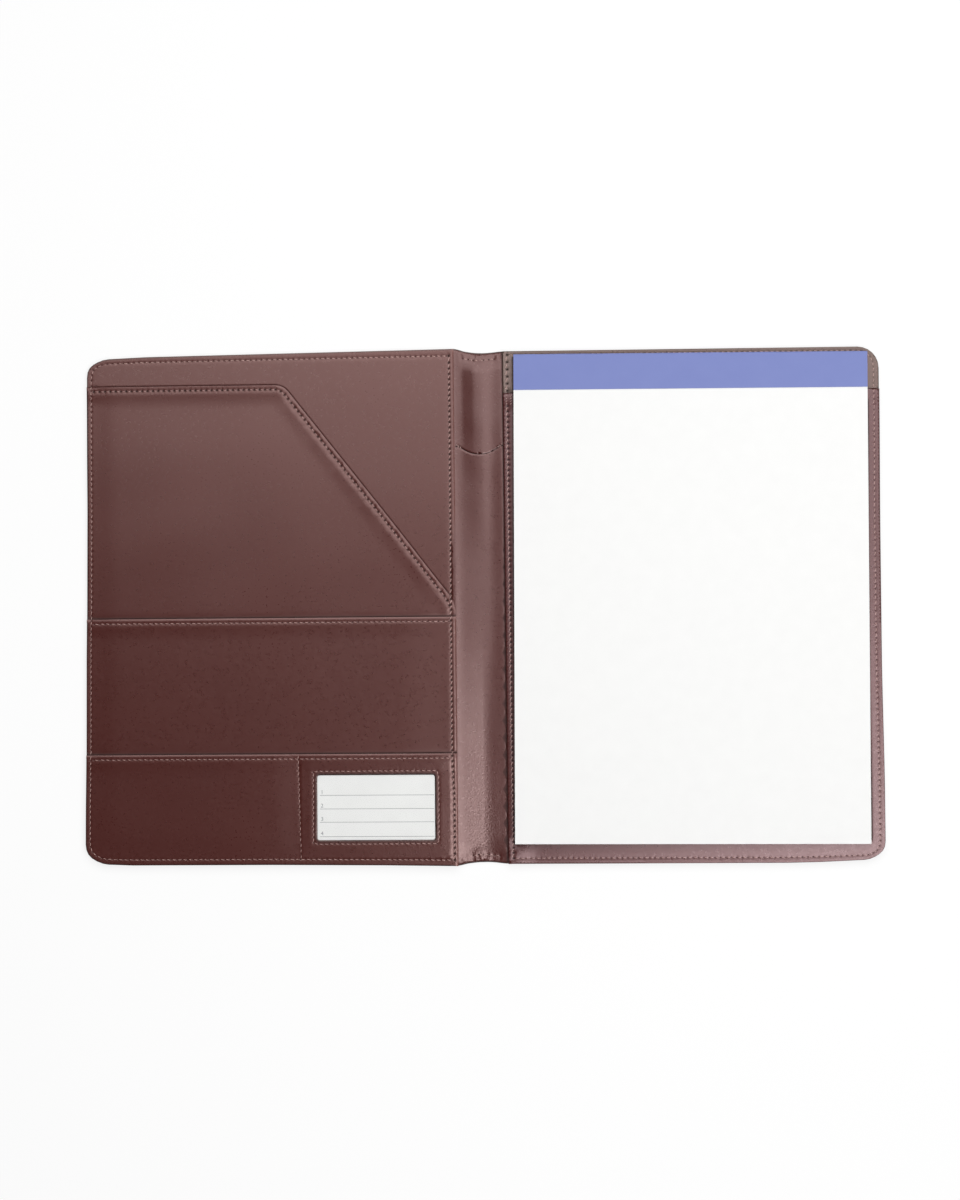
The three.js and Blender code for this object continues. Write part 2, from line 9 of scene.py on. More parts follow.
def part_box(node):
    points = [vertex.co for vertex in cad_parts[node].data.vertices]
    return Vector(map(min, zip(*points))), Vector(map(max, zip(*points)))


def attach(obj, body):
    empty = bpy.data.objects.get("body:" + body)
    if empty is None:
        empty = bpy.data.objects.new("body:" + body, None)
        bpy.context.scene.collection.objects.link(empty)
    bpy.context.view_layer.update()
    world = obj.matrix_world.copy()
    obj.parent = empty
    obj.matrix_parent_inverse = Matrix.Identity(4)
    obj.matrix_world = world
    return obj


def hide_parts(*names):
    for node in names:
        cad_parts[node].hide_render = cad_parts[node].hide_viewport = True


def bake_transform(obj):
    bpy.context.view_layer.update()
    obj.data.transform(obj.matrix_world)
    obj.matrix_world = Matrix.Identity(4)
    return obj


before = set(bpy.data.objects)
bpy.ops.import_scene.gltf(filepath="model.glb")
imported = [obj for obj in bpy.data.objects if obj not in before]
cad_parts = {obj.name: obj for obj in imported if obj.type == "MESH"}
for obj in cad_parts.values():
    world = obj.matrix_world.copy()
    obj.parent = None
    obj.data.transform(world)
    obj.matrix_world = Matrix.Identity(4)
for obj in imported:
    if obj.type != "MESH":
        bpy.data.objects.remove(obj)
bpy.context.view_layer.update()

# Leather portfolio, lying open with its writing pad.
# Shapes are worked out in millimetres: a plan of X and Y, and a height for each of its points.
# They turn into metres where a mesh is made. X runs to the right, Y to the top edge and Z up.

MM = 0.001
dice = np.random.default_rng(7)

# Leather and its edges
COVER_LEATHER = 0.9
POCKET_LEATHER = 0.6
TURN_IN_WIDTH = 12
TURN_IN_THICKNESS = 0.4
SPINE_TURN_IN_WIDTH = 7
SPINE_TURN_IN_LEVEL = 1.35
CORNER_RADIUS = 13
CUT_EDGE_RADIUS = 0.35
FOLDED_EDGE_RADIUS = 0.8
ROLLED_EDGE_RADIUS = 1.8
WINDOW_EDGE_RADIUS = 0.85
CREASED_EDGE_RADIUS = 0.9
LEVEL_EDGE_RADIUS = 0.4
STRIP_EDGE_RADIUS = 0.5
EDGE_DROP = 0.42
ROLLED_DROP = 0.45
CREASED_DROP = 0.19
# Rolled edges are coloured paler: partly wear and partly painted highlight
RUBBED_AND_HIGHLIGHT_SPREAD = 0.25
# Dark edges: edge ink on cut edges, and painted shade along the slit's upper lip
EDGE_INK_AND_SHADE_SPREAD = 1.6
BOARD_INSET = 1.4
RIM_START = 2.2
COVER_SEAM_GROOVE = 0.32
COVER_HINGE_GROOVE = 0.35

# Pockets: hems, slack and the swell of the leather between its seams. Each run is where a height eases in.
HEM_FLAT = 3.5
HEM_FADE = 8
HEM_THICKNESS = 0.35
HEM_SEAM_INSET = 2.9
HEM_PULL = 0.3
HEM_PULL_REACH = 2.1
DOCUMENT_MOUTH_DROP = 1.8
DOCUMENT_FREE_LEVEL = 5.0
MIDDLE_FREE_LEVEL = 5.7
LOWER_SLACK = 0.3
DOCUMENT_FREE_FALL = 0.28
MIDDLE_FREE_FALL = 0.1
FREE_FALL_START = 4
FREE_FALL_RUN = 25
SOFT_SWELL = 15
SLOW_SWELL = 30
SLOW_SWELL_RUN = (-160, -100)
SEAM_LIP = 0.5
UNSEWN_REACH = 200
LAYER = 0.65
CARD_EDGE_RISE = 0.25
CARD_EDGE_REACH = 1.1
FILM_RISE = 0.14
FILM_REACH = 6.5
PAD_BORDER_LEVEL = 5.66
PAD_CARD_OVER = 5.76
STRIP_WIDTH = 7
STRIP_FALL = 0.42
STRIP_FALL_BELOW = 0.3
STRIP_FALL_RUN = (-50, -120)
STRIP_FALL_END = -145
STRIP_OVERHANG = 0.4
BARE_STRIP_RISE = 0.5
CORNER_LIFT = 0.7
CORNER_LIFT_ACROSS = (34, 18)
CORNER_LIFT_DOWN = (-144, -149)
PAD_SWELL = 3.4
DOCUMENT_LEVEL_RUN = 121.6
DOCUMENT_UPPER_FILLET = 11
DOCUMENT_LOWER_FILLET = 22
DOCUMENT_TO_MIDDLE = 8.3
WINDOW_HEM = 2.4

# Runs over which stretched leather opens its grain: low in the gutter, and about the card's window
OPEN_GUTTER_DOWN = (-50, -130)
OPEN_GUTTER_ASIDE = (12, 7)
OPEN_WINDOW_NEAR = (14, 2)
OPEN_WINDOW_ALONG = (-90, -40)
OPEN_WINDOW_DOWN = (-92, -100)
OPEN_WINDOW_SHARE = 0.8

# Creases and prints pressed into the leather, as their width and depth. Over that width each is also painted
# near-black, as painted shade in the crease
THIN_CREASE = (0.36, 0.2)
DARK_CREASE = (1.0, 0.3)
PAD_PRINT = (0.6, 0.04)

# Seams
STITCH_PITCH = 3.3
LONG_STITCH_PITCH = 4.1
TACK_PITCH = 1.6
TACK_ROWS_ASIDE = (-0.6, 2)
THREAD = 0.36
BOLD_THREAD = 0.52
STITCH_SLANT = 0.4
ZIGZAG_SLANT = 0.95
STITCH_RISE = 0.09
STITCH_SINK = 0.3
STITCH_END = 0.17
SUNK_STITCH_RISE = -0.12
TACK_RISE = 0.18
SEAM_DEPTH = 0.05
SEAM_HALF_WIDTH = 0.7
BORDER_HOLE = 0.2
FINE_HOLE = 0.26
ROUND_HOLE = 0.56
HOLE_STEEPNESS = 0.7
PUCKER_DEPTH = 0.04
PUCKER_REACH = 2.8
DIVIDER_LEAN = 0.9
STRIP_SEAM_LEAN = 0.5
STRIP_THREAD_ASIDE = 0.6
INNER_SEAM_LEAN = 1.1
FRONT_TOP_SEAM_INSET = 1.3
FRONT_LEFT_SEAM_INSET = 0.4

# Gutter: soft lining over the spine, with a pen slit. Profiles give its height at stations across it, and
# pleats their start, width and share of the height. Bumps give their place, height and radius.
GUTTER = 15
HINGE = 13.5
FOLD_OUTER = 15.3
FOLD_INNER = 11.7
FOLD_LEVEL = 0.9
SPINE_END_HOLLOW = 1.5
SPINE_SEAM_INSET = 4.4
SPINE_TOP_SEAM = (-9.4, 9.4, 8)
SPINE_BOTTOM_SEAM = (-6.4, 9.4, 7)
LINING_TUCK = 2.5
TUCKED_THICKNESS = 0.4
GUTTER_TOP_PROFILE = (
    (-15, 2.6), (-14, 2.4), (-12.5, 2.38), (-11, 2.45), (-10, 2.58), (-3.2, 4.1), (-1.5, 4.32), (0, 4.4),
    (2, 4.4), (6.5, 3.75), (8, 3.65), (9.5, 3.72), (13.5, 4.2), (14.5, 4.3), (15, 3.4),
)
GUTTER_MIDDLE_PROFILE = (
    (-15, 4.1), (-14, 3.9), (-12.5, 3.62), (-10, 3.32), (6, 1.96), (8.7, 1.9), (13.6, 2.08), (14.6, 2.2),
    (15, 3.2),
)
GUTTER_BOTTOM_PROFILE = (
    (-15, 4.2), (-14, 3.95), (-12.5, 3.65), (0.6, 1.75), (3, 1.58), (5, 1.54), (14.3, 1.72), (15, 3.2),
)
GUTTER_END_LEVEL = 2.0
GUTTER_END_RUN = 11
PLEATS = ((-0.8, 3.9, 1.0), (1, 2.6, 0.6))
PLEAT_HEIGHT = 0.13
PLEAT_REACH = 2.4
GUTTER_BUMPS = ((-10.8, -154.2, 0.42, 2.6), (-2.4, -151, 0.5, 4), (14.5, -148, 0.6, 6))
SLIT_HALF_WIDTH = 12.4
SLIT_LOWEST = 93.5
SLIT_SAG = 5.2
SLIT_GAP = 0.06
UPPER_LIP_RADIUS = 0.2
LOWER_LIP_RADIUS = 0.8
EYELET_RADIUS = 0.32
SLIT_TACK = 3.2
FOLD_MARK = ((-2.6, 145.4), (2.2, 145.1))
FOLD_MARK_DEPTH = 0.22

# The finished work isn't quite square: shifts of its edges at stations along them, leaning gutter lines,
# and a waist in its outer edge. Each run is where a shift eases in.
TOP_EDGE_SHIFT = ((-236, -1.9), (-207, -0.7), (-15, 1.9), (-12.5, 1.6), (-9, 0.8), (0, 0.7), (9, 0))
BOTTOM_EDGE_SHIFT = (
    (-236, 0.8), (-215, 0), (-130, 0), (-60, -0.5), (-15, -1.15), (-10, -0.3), (0, -0.55), (8, 0),
    (185, 0), (205, 0.4), (225, 1.3), (242, 2.0),
)
EDGE_SHIFT_REACH = 10
HALF_HEIGHT = 157
LEFT_EDGE_SHIFT = (
    (-150, -1.2), (-125, -1.1), (-91, -0.7), (-30, -0.6), (0, -0.3), (61, -0.1), (91, -0.3), (134, -0.45),
)
LEFT_EDGE_RUN = (-232, -242)
FRONT_LEAN = (0, -1.3)
FRONT_LEAN_RUN = (-60, -15)
BACK_LEAN = (1.0, -0.65)
BACK_LEAN_RUN = (45, 19)
OUTER_WAIST = 0.9
OUTER_WAIST_RUN = (190, 238)
OUTER_WAIST_START = (-118, -28)
OUTER_WAIST_END = (40, 130)
OUTER_WAIST_FADE = 0.45
PAD_TURN = -0.0035
PAD_SHRINK = 0.996
PAD_PIVOT = (128.45, 140)

# Card
RULE_DROPS = (13.0, 21.3, 29.4, 38.2)
RULE_WIDTH = 0.28
NUMBER_SIZE = 3.4
PRINT_HEIGHT = 0.02

# Writing pad
BACKING_CARD = 0.55
SHEET_COUNT = 42
SHEET_SHUFFLE = 0.14
SHEET_PAPER = 0.12
BAND_PAPER = 0.25
BAND_CORNER = 1.1
CREASE_REACH = 1.6

# How finely the plans are divided
BORDER_STEP = 2.2
EDGE_RINGS = (0.05, 0.13, 0.25, 0.42, 0.65, 1.0, 1.5, 2.2)
SEAM_ROWS = (0, 0.45, 0.9, 1.6, 2.6, 4.0)
CREASE_ROWS = (0, 0.25, 0.5, 0.85, 1.3, 1.9)
HINGE_ROWS = (0, 0.6, 1.2, 1.8, 2.5, 3.3, 4.2)
BACK_EDGE_ROWS = (0.3, 1.2)
BACK_EDGE_CLEAR = 0.27
GRID = 4
BACK_COARSER = 4


# Plan geometry


def rounded(corners, closed=True, arc_steps=6):
    """Path through corners given as (x, y, radius). A closed path repeats its first point at its end."""
    path = []
    count = len(corners)
    for index, (x, y, radius) in enumerate(corners):
        here = np.array((x, y), float)
        if radius == 0 or (not closed and index in (0, count - 1)):
            path.append(here)
            continue
        incoming = here - np.array(corners[index - 1][:2])
        outgoing = np.array(corners[(index + 1) % count][:2]) - here
        incoming = incoming / np.hypot(*incoming)
        outgoing = outgoing / np.hypot(*outgoing)
        turn = math.acos(np.clip(incoming @ outgoing, -1, 1))
        side = np.sign(incoming[0] * outgoing[1] - incoming[1] * outgoing[0])
        across = side * radius * np.array((-incoming[1], incoming[0]))
        centre = here - incoming * radius * math.tan(turn / 2) + across
        for angle in np.linspace(0, turn, arc_steps + 1):
            path.append(centre + math.sin(angle) * radius * incoming - math.cos(angle) * across)
    if closed:
        path.append(path[0])
    return np.array(path)


def is_ring(path):
    return np.allclose(path[0], path[-1])


def spaced(path, step):
    """Points about a step apart along a path, with its corners kept, and the path's normal at each."""
    points = []
    for start, end in zip(path[:-1], path[1:]):
        count = max(1, round(np.hypot(*(end - start)) / step))
        points += [start + (end - start) * share / count for share in range(count)]
    if not is_ring(path):
        points.append(path[-1])
    points = np.array(points)
    ahead = np.roll(points, -1, axis=0)
    behind = np.roll(points, 1, axis=0)
    if not is_ring(path):
        ahead[-1] = points[-1]
        behind[0] = points[0]
    runs = ahead - behind
    normals = np.column_stack((-runs[:, 1], runs[:, 0])) / np.hypot(*runs.T)[:, None]
    return points, normals


def pitched(path, pitch):
    """Points at an even pitch along a path, from its first point to its last."""
    reach = np.concatenate(([0], np.cumsum(np.hypot(*np.diff(path, axis=0).T))))
    at = np.linspace(0, reach[-1], round(reach[-1] / pitch) + 1)
    return np.column_stack([np.interp(at, reach, path[:, axis]) for axis in (0, 1)])


def needle_holes(path, pitch, radius):
    """Needle holes at an even pitch along a seam, each as x, y and radius."""
    at = pitched(path, pitch)
    return np.column_stack((at, np.full(len(at), radius)))


def distance(points, *paths):
    """Shortest distance from each point to any of the paths."""
    best = np.full(len(points), np.inf)
    for path in paths:
        for start, end in zip(path[:-1], path[1:]):
            run = end - start
            along = np.clip((points - start) @ run / max(run @ run, 1e-12), 0, 1)
            gap = points - start - along[:, None] * run
            best = np.minimum(best, (gap ** 2).sum(1))
    return np.sqrt(best)


def from_hole(points, holes):
    """Each point's distance from the nearest needle hole, counted in that hole's radii, and that radius."""
    best = np.full(len(points), np.inf)
    size = np.zeros(len(points))
    for x, y, radius in holes:
        near = ((points - (x, y)) ** 2).sum(1) / radius ** 2
        size[near < best] = radius
        best = np.minimum(best, near)
    return np.sqrt(best), size


def inside(points, path):
    """Whether each point lies within a closed path."""
    x, y = points.T
    within = np.zeros(len(points), bool)
    for (ax, ay), (bx, by) in zip(path[:-1], path[1:]):
        if ay != by:
            within ^= ((ay > y) != (by > y)) & (x < (bx - ax) * (y - ay) / (by - ay) + ax)
    return within


def smooth(share):
    """Eased step from 0 to 1."""
    share = np.clip(share, 0, 1)
    return share * share * (3 - 2 * share)


def eased(value, start, end):
    """Eased step from 0, for values at a start or before it, to 1 at an end."""
    return smooth((value - start) / (end - start))


def closeness(points, paths, reach):
    """How near points are to some paths: 1 on them, and fading to 0 within about twice the reach."""
    return np.exp(-((distance(points, *paths) / reach) ** 2))


def ring_run(points, kept):
    """The one run of kept points on a ring, in order from where it starts."""
    start = int(np.argmax(kept & ~np.roll(kept, 1)))
    return np.roll(points, -start, axis=0)[np.roll(kept, -start)]


def waves(points, length, height, seed):
    """Gentle unevenness of laid leather: a few sine waves of about one length, in many directions."""
    draw = np.random.default_rng(seed)
    total = np.zeros(len(points))
    for _ in range(9):
        heading = draw.uniform(0, math.pi)
        pace = 2 * math.pi / (length * draw.uniform(0.6, 1.8))
        run = points @ (math.cos(heading), math.sin(heading))
        total += np.sin(run * pace + draw.uniform(0, 2 * math.pi))
    return total * height / 3


def staggered(path, spacing):
    """Grid of points, with every other row shifted, over a path's extent."""
    low, high = path.min(0), path.max(0)
    points = []
    for row, y in enumerate(np.arange(low[1] + spacing / 2, high[1], spacing * 0.87)):
        xs = np.arange(low[0] + spacing / 2 + row % 2 * spacing / 2, high[0], spacing)
        points.append(np.column_stack((xs, np.full(len(xs), y))))
    return np.vstack(points)


def beside(paths, offsets, step=BORDER_STEP):
    """Points in rows on both sides of some paths."""
    rows = [np.empty((0, 2))]
    for path in paths:
        points, normals = spaced(path, step)
        for offset in offsets:
            rows.append(points + normals * offset)
            if offset:
                rows.append(points - normals * offset)
    return np.vstack(rows)


def around(holes):
    """Each needle hole's middle and three rings of points round it."""
    middles = np.array(holes).reshape(-1, 3)
    points = [middles[:, :2]]
    for share, count in ((0.6, 6), (1.3, 6), (2.4, 8)):
        angles = np.arange(count) * 2 * math.pi / count
        ring = np.column_stack((np.cos(angles), np.sin(angles)))
        points.append((middles[:, None, :2] + middles[:, None, 2:] * share * ring).reshape(-1, 2))
    return np.vstack(points)


def spread(kept, groups):
    """Add groups of points to some, without those closer than their group's gap to a point that is there."""
    for points, gap in groups:
        tree = kdtree.KDTree(len(kept))
        for index, (x, y) in enumerate(kept):
            tree.insert((x, y, 0), index)
        tree.balance()
        clear = [tree.find((x, y, 0))[2] > gap for x, y in points]
        kept = np.vstack((kept, points[clear]))
    return kept


def in_leather(points, loops):
    """Whether each point lies inside the first loop and outside the others."""
    held = [inside(points, np.vstack((loop, loop[:1]))) for loop in loops]
    return held[0] & ~np.any(held[1:], axis=0)


def triangles(points, loops):
    """Triangles over points, inside the first loop and outside the others. The loops' points come first."""
    edges = []
    for loop in loops:
        first = len(edges)
        edges += [(first + i, first + (i + 1) % len(loop)) for i in range(len(loop))]
    found = geometry.delaunay_2d_cdt([Vector(p) for p in points], edges, [], 0, 1e-6)
    plan = np.array([p[:] for p in found[0]])
    faces = np.array(found[2])
    return plan, faces[in_leather(plan[faces].mean(1), loops)]


def within(points, loops, paths, gap):
    """The points that lie inside the leather and clear of its edges' paths."""
    return points[in_leather(points, loops) & (distance(points, *paths) > gap)]


def leather(outline, top, under, edges, openings=(), seams=(), holes=(), creases=(), spacing=GRID):
    """Closed piece of leather over a plan, as points, faces and marks. Its face is fine, its back is coarser
    and its edges are worked. Each edge is a path, a radius and a kind: rolled, creased, edge_ink_and_shade
    or plain."""
    loops = [spaced(path, BORDER_STEP)[0] for path in (outline, *openings)]

    def rounding(points, on_face):
        drop = np.zeros(len(points))
        for path, radius, kind in edges:
            share = np.clip(1 - distance(points, path) / radius, 0, 1)
            if kind == "rolled":
                fall = on_face * ROLLED_DROP * share ** 2
            elif kind == "creased":
                fall = on_face * CREASED_DROP * share
            else:
                fall = EDGE_DROP * (top(points) - under(points)) * (1 - np.sqrt(1 - share ** 2))
            drop = np.maximum(drop, fall)
        return drop

    def face(points):
        near, size = from_hole(points, holes)
        sunk = HOLE_STEEPNESS * size * np.exp(-(near ** 2))
        sunk += PUCKER_DEPTH * np.exp(-((near / PUCKER_REACH) ** 2))
        for path, width, depth in creases:
            sunk += depth * closeness(points, [path], width)
        return top(points) - rounding(points, 1) - sunk

    def back(points):
        return under(points) + rounding(points, 0)

    paths = [path for path, _, _ in edges]
    fine = spread(np.vstack(loops), [
        (within(points, loops, paths, EDGE_RINGS[0] * 0.9), gap) for points, gap in (
            (beside(paths, EDGE_RINGS), 0.04),
            (around(holes), 0.12),
            (beside([path for path, _, _ in creases], CREASE_ROWS), 0.15),
            (beside(seams, SEAM_ROWS), 0.4),
            (staggered(outline, spacing), spacing * 0.5),
        )
    ])
    coarse = spread(np.vstack(loops), [
        (within(points, loops, paths, BACK_EDGE_CLEAR), gap) for points, gap in (
            (beside(paths, BACK_EDGE_ROWS), 0.2),
            (staggered(outline, spacing * BACK_COARSER), spacing),
        )
    ])
    points, faces = closed_body(loops, fine, coarse, face, back)
    plan = points[:, :2]
    # Needle holes and creases are painted near-black: painted shade in the holes, along pocket mouths,
    # beside the gutter's edge and beside the pad
    dark = np.exp(-((from_hole(plan, holes)[0] / 1.25) ** 4))
    for path, width, _ in creases:
        dark = np.maximum(dark, 0.95 * closeness(plan, [path], width))
    # Rolled edges get a paler colour, partly wear and partly painted highlight; dark edges get edge ink, and
    # painted shade at the slit's upper lip
    marks = {
        "rubbed_and_highlight": edge_mark(plan, edges, "rolled", RUBBED_AND_HIGHLIGHT_SPREAD),
        "edge_ink_and_shade": edge_mark(plan, edges, "edge_ink_and_shade", EDGE_INK_AND_SHADE_SPREAD),
        "hole_and_crease_shade": dark,
        "open": opened_grain(plan),
    }
    return points, faces, marks


def opened_grain(points):
    """Where stretched leather shows its open grain: low in the gutter, and about the card's window."""
    x, y = points.T
    gutter = eased(y, *OPEN_GUTTER_DOWN) * eased(np.abs(x), *OPEN_GUTTER_ASIDE)
    near = eased(distance(points, window_seam), *OPEN_WINDOW_NEAR)
    window = near * eased(x, *OPEN_WINDOW_ALONG) * eased(y, *OPEN_WINDOW_DOWN)
    return np.maximum(gutter, OPEN_WINDOW_SHARE * window * (np.abs(x) > GUTTER))


def edge_mark(plan, edges, kind, spread_share):
    """How strongly each point carries the mark of one kind of edge."""
    strongest = np.zeros(len(plan))
    for path, radius, found in edges:
        if found == kind:
            strongest = np.maximum(strongest, closeness(plan, [path], radius * spread_share))
    return strongest


def closed_body(loops, fine, coarse, face, back):
    """Face and back joined by walls along the loops, as points and faces."""
    face_plan, face_triangles = triangles(fine, loops)
    back_plan, back_triangles = triangles(coarse, loops)
    offset = len(face_plan)
    faces = face_triangles.tolist() + (back_triangles[:, ::-1] + offset).tolist()
    first = 0
    for loop in loops:
        for i in range(len(loop)):
            here = first + i
            ahead = first + (i + 1) % len(loop)
            faces.append([here, ahead, ahead + offset, here + offset])
        first += len(loop)
    plan = np.vstack((face_plan, back_plan))
    height = np.concatenate((face(face_plan), back(back_plan)))
    return np.column_stack((plan, height)), faces


def stitch_row(path, surface, facing=1, rise=STITCH_RISE, pitch=STITCH_PITCH, slant=STITCH_SLANT,
               thread=THREAD):
    """Row of slanted stitches from needle hole to needle hole, on the upper or under side of leather."""
    holes = pitched(path, pitch)
    runs = np.diff(holes, axis=0)
    lengths = np.hypot(*runs.T)
    ahead = runs / lengths[:, None]
    aside = np.column_stack((-ahead[:, 1], ahead[:, 0]))
    shares = np.linspace(0, 1, 7)
    arch = np.sin(math.pi * shares)
    angles = np.arange(6) * math.pi / 3
    travel = lengths[:, None] * (STITCH_END + (1 - 2 * STITCH_END) * shares)
    lean = slant * (0.5 - shares) + dice.uniform(-0.06, 0.06, (len(runs), 1))
    middle = holes[:-1, None] + ahead[:, None] * travel[..., None] + aside[:, None] * lean[..., None]
    level = surface(middle.reshape(-1, 2)).reshape(middle.shape[:2])
    level = level + facing * (-STITCH_SINK + (STITCH_SINK + rise) * arch ** 0.5)
    radius = thread / 2 * (0.72 + 0.28 * arch)
    wide = radius[:, None] * np.cos(angles)
    plan = middle[:, :, None] + aside[:, None, None] * wide[None, ..., None]
    height = level[..., None] + 0.85 * radius[:, None] * np.sin(angles)
    points = np.concatenate((plan, height[..., None]), axis=3).reshape(-1, 3)
    count = len(shares) * len(angles)
    stitch = joined_rows(np.zeros((len(shares), len(angles))))
    stitch += [list(range(len(angles))), list(range(count - len(angles), count))]
    return points, [face for first in range(0, len(points), count) for face in shifted(stitch, first)]


def as_sewn(points):
    """Sewn leather with its small unevenness: its edges bow a little and the gutter's two lines lean."""
    x, y = points[:, 0], points[:, 1]
    reach = EDGE_SHIFT_REACH
    rise = np.interp(x, *np.array(TOP_EDGE_SHIFT).T) * eased(y, HALF_HEIGHT - reach, HALF_HEIGHT)
    rise += np.interp(x, *np.array(BOTTOM_EDGE_SHIFT).T) * eased(y, reach - HALF_HEIGHT, -HALF_HEIGHT)
    ends = (-HALF_HEIGHT, HALF_HEIGHT)
    across = np.clip((x + GUTTER) / (2 * GUTTER), 0, 1)
    lean = np.interp(y, ends, FRONT_LEAN) * (1 - across) + np.interp(y, ends, BACK_LEAN) * across
    shift = lean * eased(x, *FRONT_LEAN_RUN) * eased(x, *BACK_LEAN_RUN)
    shift += np.interp(y, *np.array(LEFT_EDGE_SHIFT).T) * eased(x, *LEFT_EDGE_RUN)
    waist = OUTER_WAIST * eased(x, *OUTER_WAIST_RUN) * eased(y, *OUTER_WAIST_START)
    shift -= waist * (1 - OUTER_WAIST_FADE * eased(y, *OUTER_WAIST_END))
    return points + np.column_stack((shift, rise, 0 * x))


def askew(points):
    """The writing pad as it lies in its pocket, turned by a hair."""
    x = (points[:, 0] - PAD_PIVOT[0]) * PAD_SHRINK
    y = points[:, 1] - PAD_PIVOT[1]
    return np.column_stack((PAD_PIVOT[0] + x - PAD_TURN * y, PAD_PIVOT[1] + y + PAD_TURN * x, points[:, 2]))


# Objects


def piece(name, points, faces, finish, body, replaced=(), marks=None, crease=50):
    """Mesh object from points in millimetres. It rides on one body; given two, it stays where it is made and
    doesn't bend.
    """
    placed = askew(points) if "writing_pad" in body else as_sewn(points)
    mesh = bpy.data.meshes.new(name)
    mesh.from_pydata((placed * MM).tolist(), [], faces)
    shell = bmesh.new()
    shell.from_mesh(mesh)
    bmesh.ops.recalc_face_normals(shell, faces=shell.faces)
    shell.to_mesh(mesh)
    shell.free()
    mesh.shade_smooth()
    mesh.set_sharp_from_angle(angle=math.radians(crease))
    mesh.materials.append(finish)
    for word, values in (marks or {}).items():
        mesh.attributes.new(word, "FLOAT", "POINT").data.foreach_set("value", np.array(values, np.float32))
    made = bpy.data.objects.new(name, mesh)
    bpy.context.scene.collection.objects.link(made)
    if replaced:
        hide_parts(*replaced)
    if isinstance(body, str):
        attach(made, body)
    else:
        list(body)
        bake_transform(made)
    return made


def bends(first, second, start, end):
    """Two bodies, and two points in metres where leather would bend from one to the other. Nothing reads
    them, so leather given these doesn't bend.
    """
    return first, second, [value * MM for value in start], [value * MM for value in end]


def joined_rows(rows, wrap=True):
    """Faces between rows of points that all have the same count. Wrapped rows close on themselves."""
    count = len(rows[0])
    faces = []
    for row in range(len(rows) - 1):
        for i in range(count if wrap else count - 1):
            here = row * count + i
            ahead = row * count + (i + 1) % count
            faces.append([here, ahead, ahead + count, here + count])
    return faces


def shifted(faces, first):
    """The same faces over points that start at a later index."""
    return [[first + index for index in face] for face in faces]


# Materials


def linear(hex_colour):
    """sRGB hex to a linear colour."""
    channels = [int(hex_colour[i:i + 2], 16) / 255 for i in (1, 3, 5)]
    return (*[c / 12.92 if c <= 0.04045 else ((c + 0.055) / 1.055) ** 2.4 for c in channels], 1)


def add(tree, kind, inputs=None, **settings):
    """Add a node with its settings. An input takes a value, an output, or a node for its output in use."""
    made = tree.nodes.new(kind)
    for word, value in settings.items():
        setattr(made, word, value)
    for socket, value in (inputs or {}).items():
        if isinstance(value, bpy.types.Node):
            value = next(output for output in value.outputs if output.enabled)
        if isinstance(value, bpy.types.NodeSocket):
            tree.links.new(value, made.inputs[socket])
        else:
            made.inputs[socket].default_value = value
    return made


def new_finish(name):
    """Empty material, its node tree, and the place on the object that its patterns follow."""
    finish = bpy.data.materials.new(name)
    finish.use_nodes = True
    tree = finish.node_tree
    tree.nodes.clear()
    return finish, tree, add(tree, "ShaderNodeTexCoord").outputs["Object"]


def per_mm(size):
    """Texture scale for a pattern whose cells are some millimetres across."""
    return 1 / (size * MM)


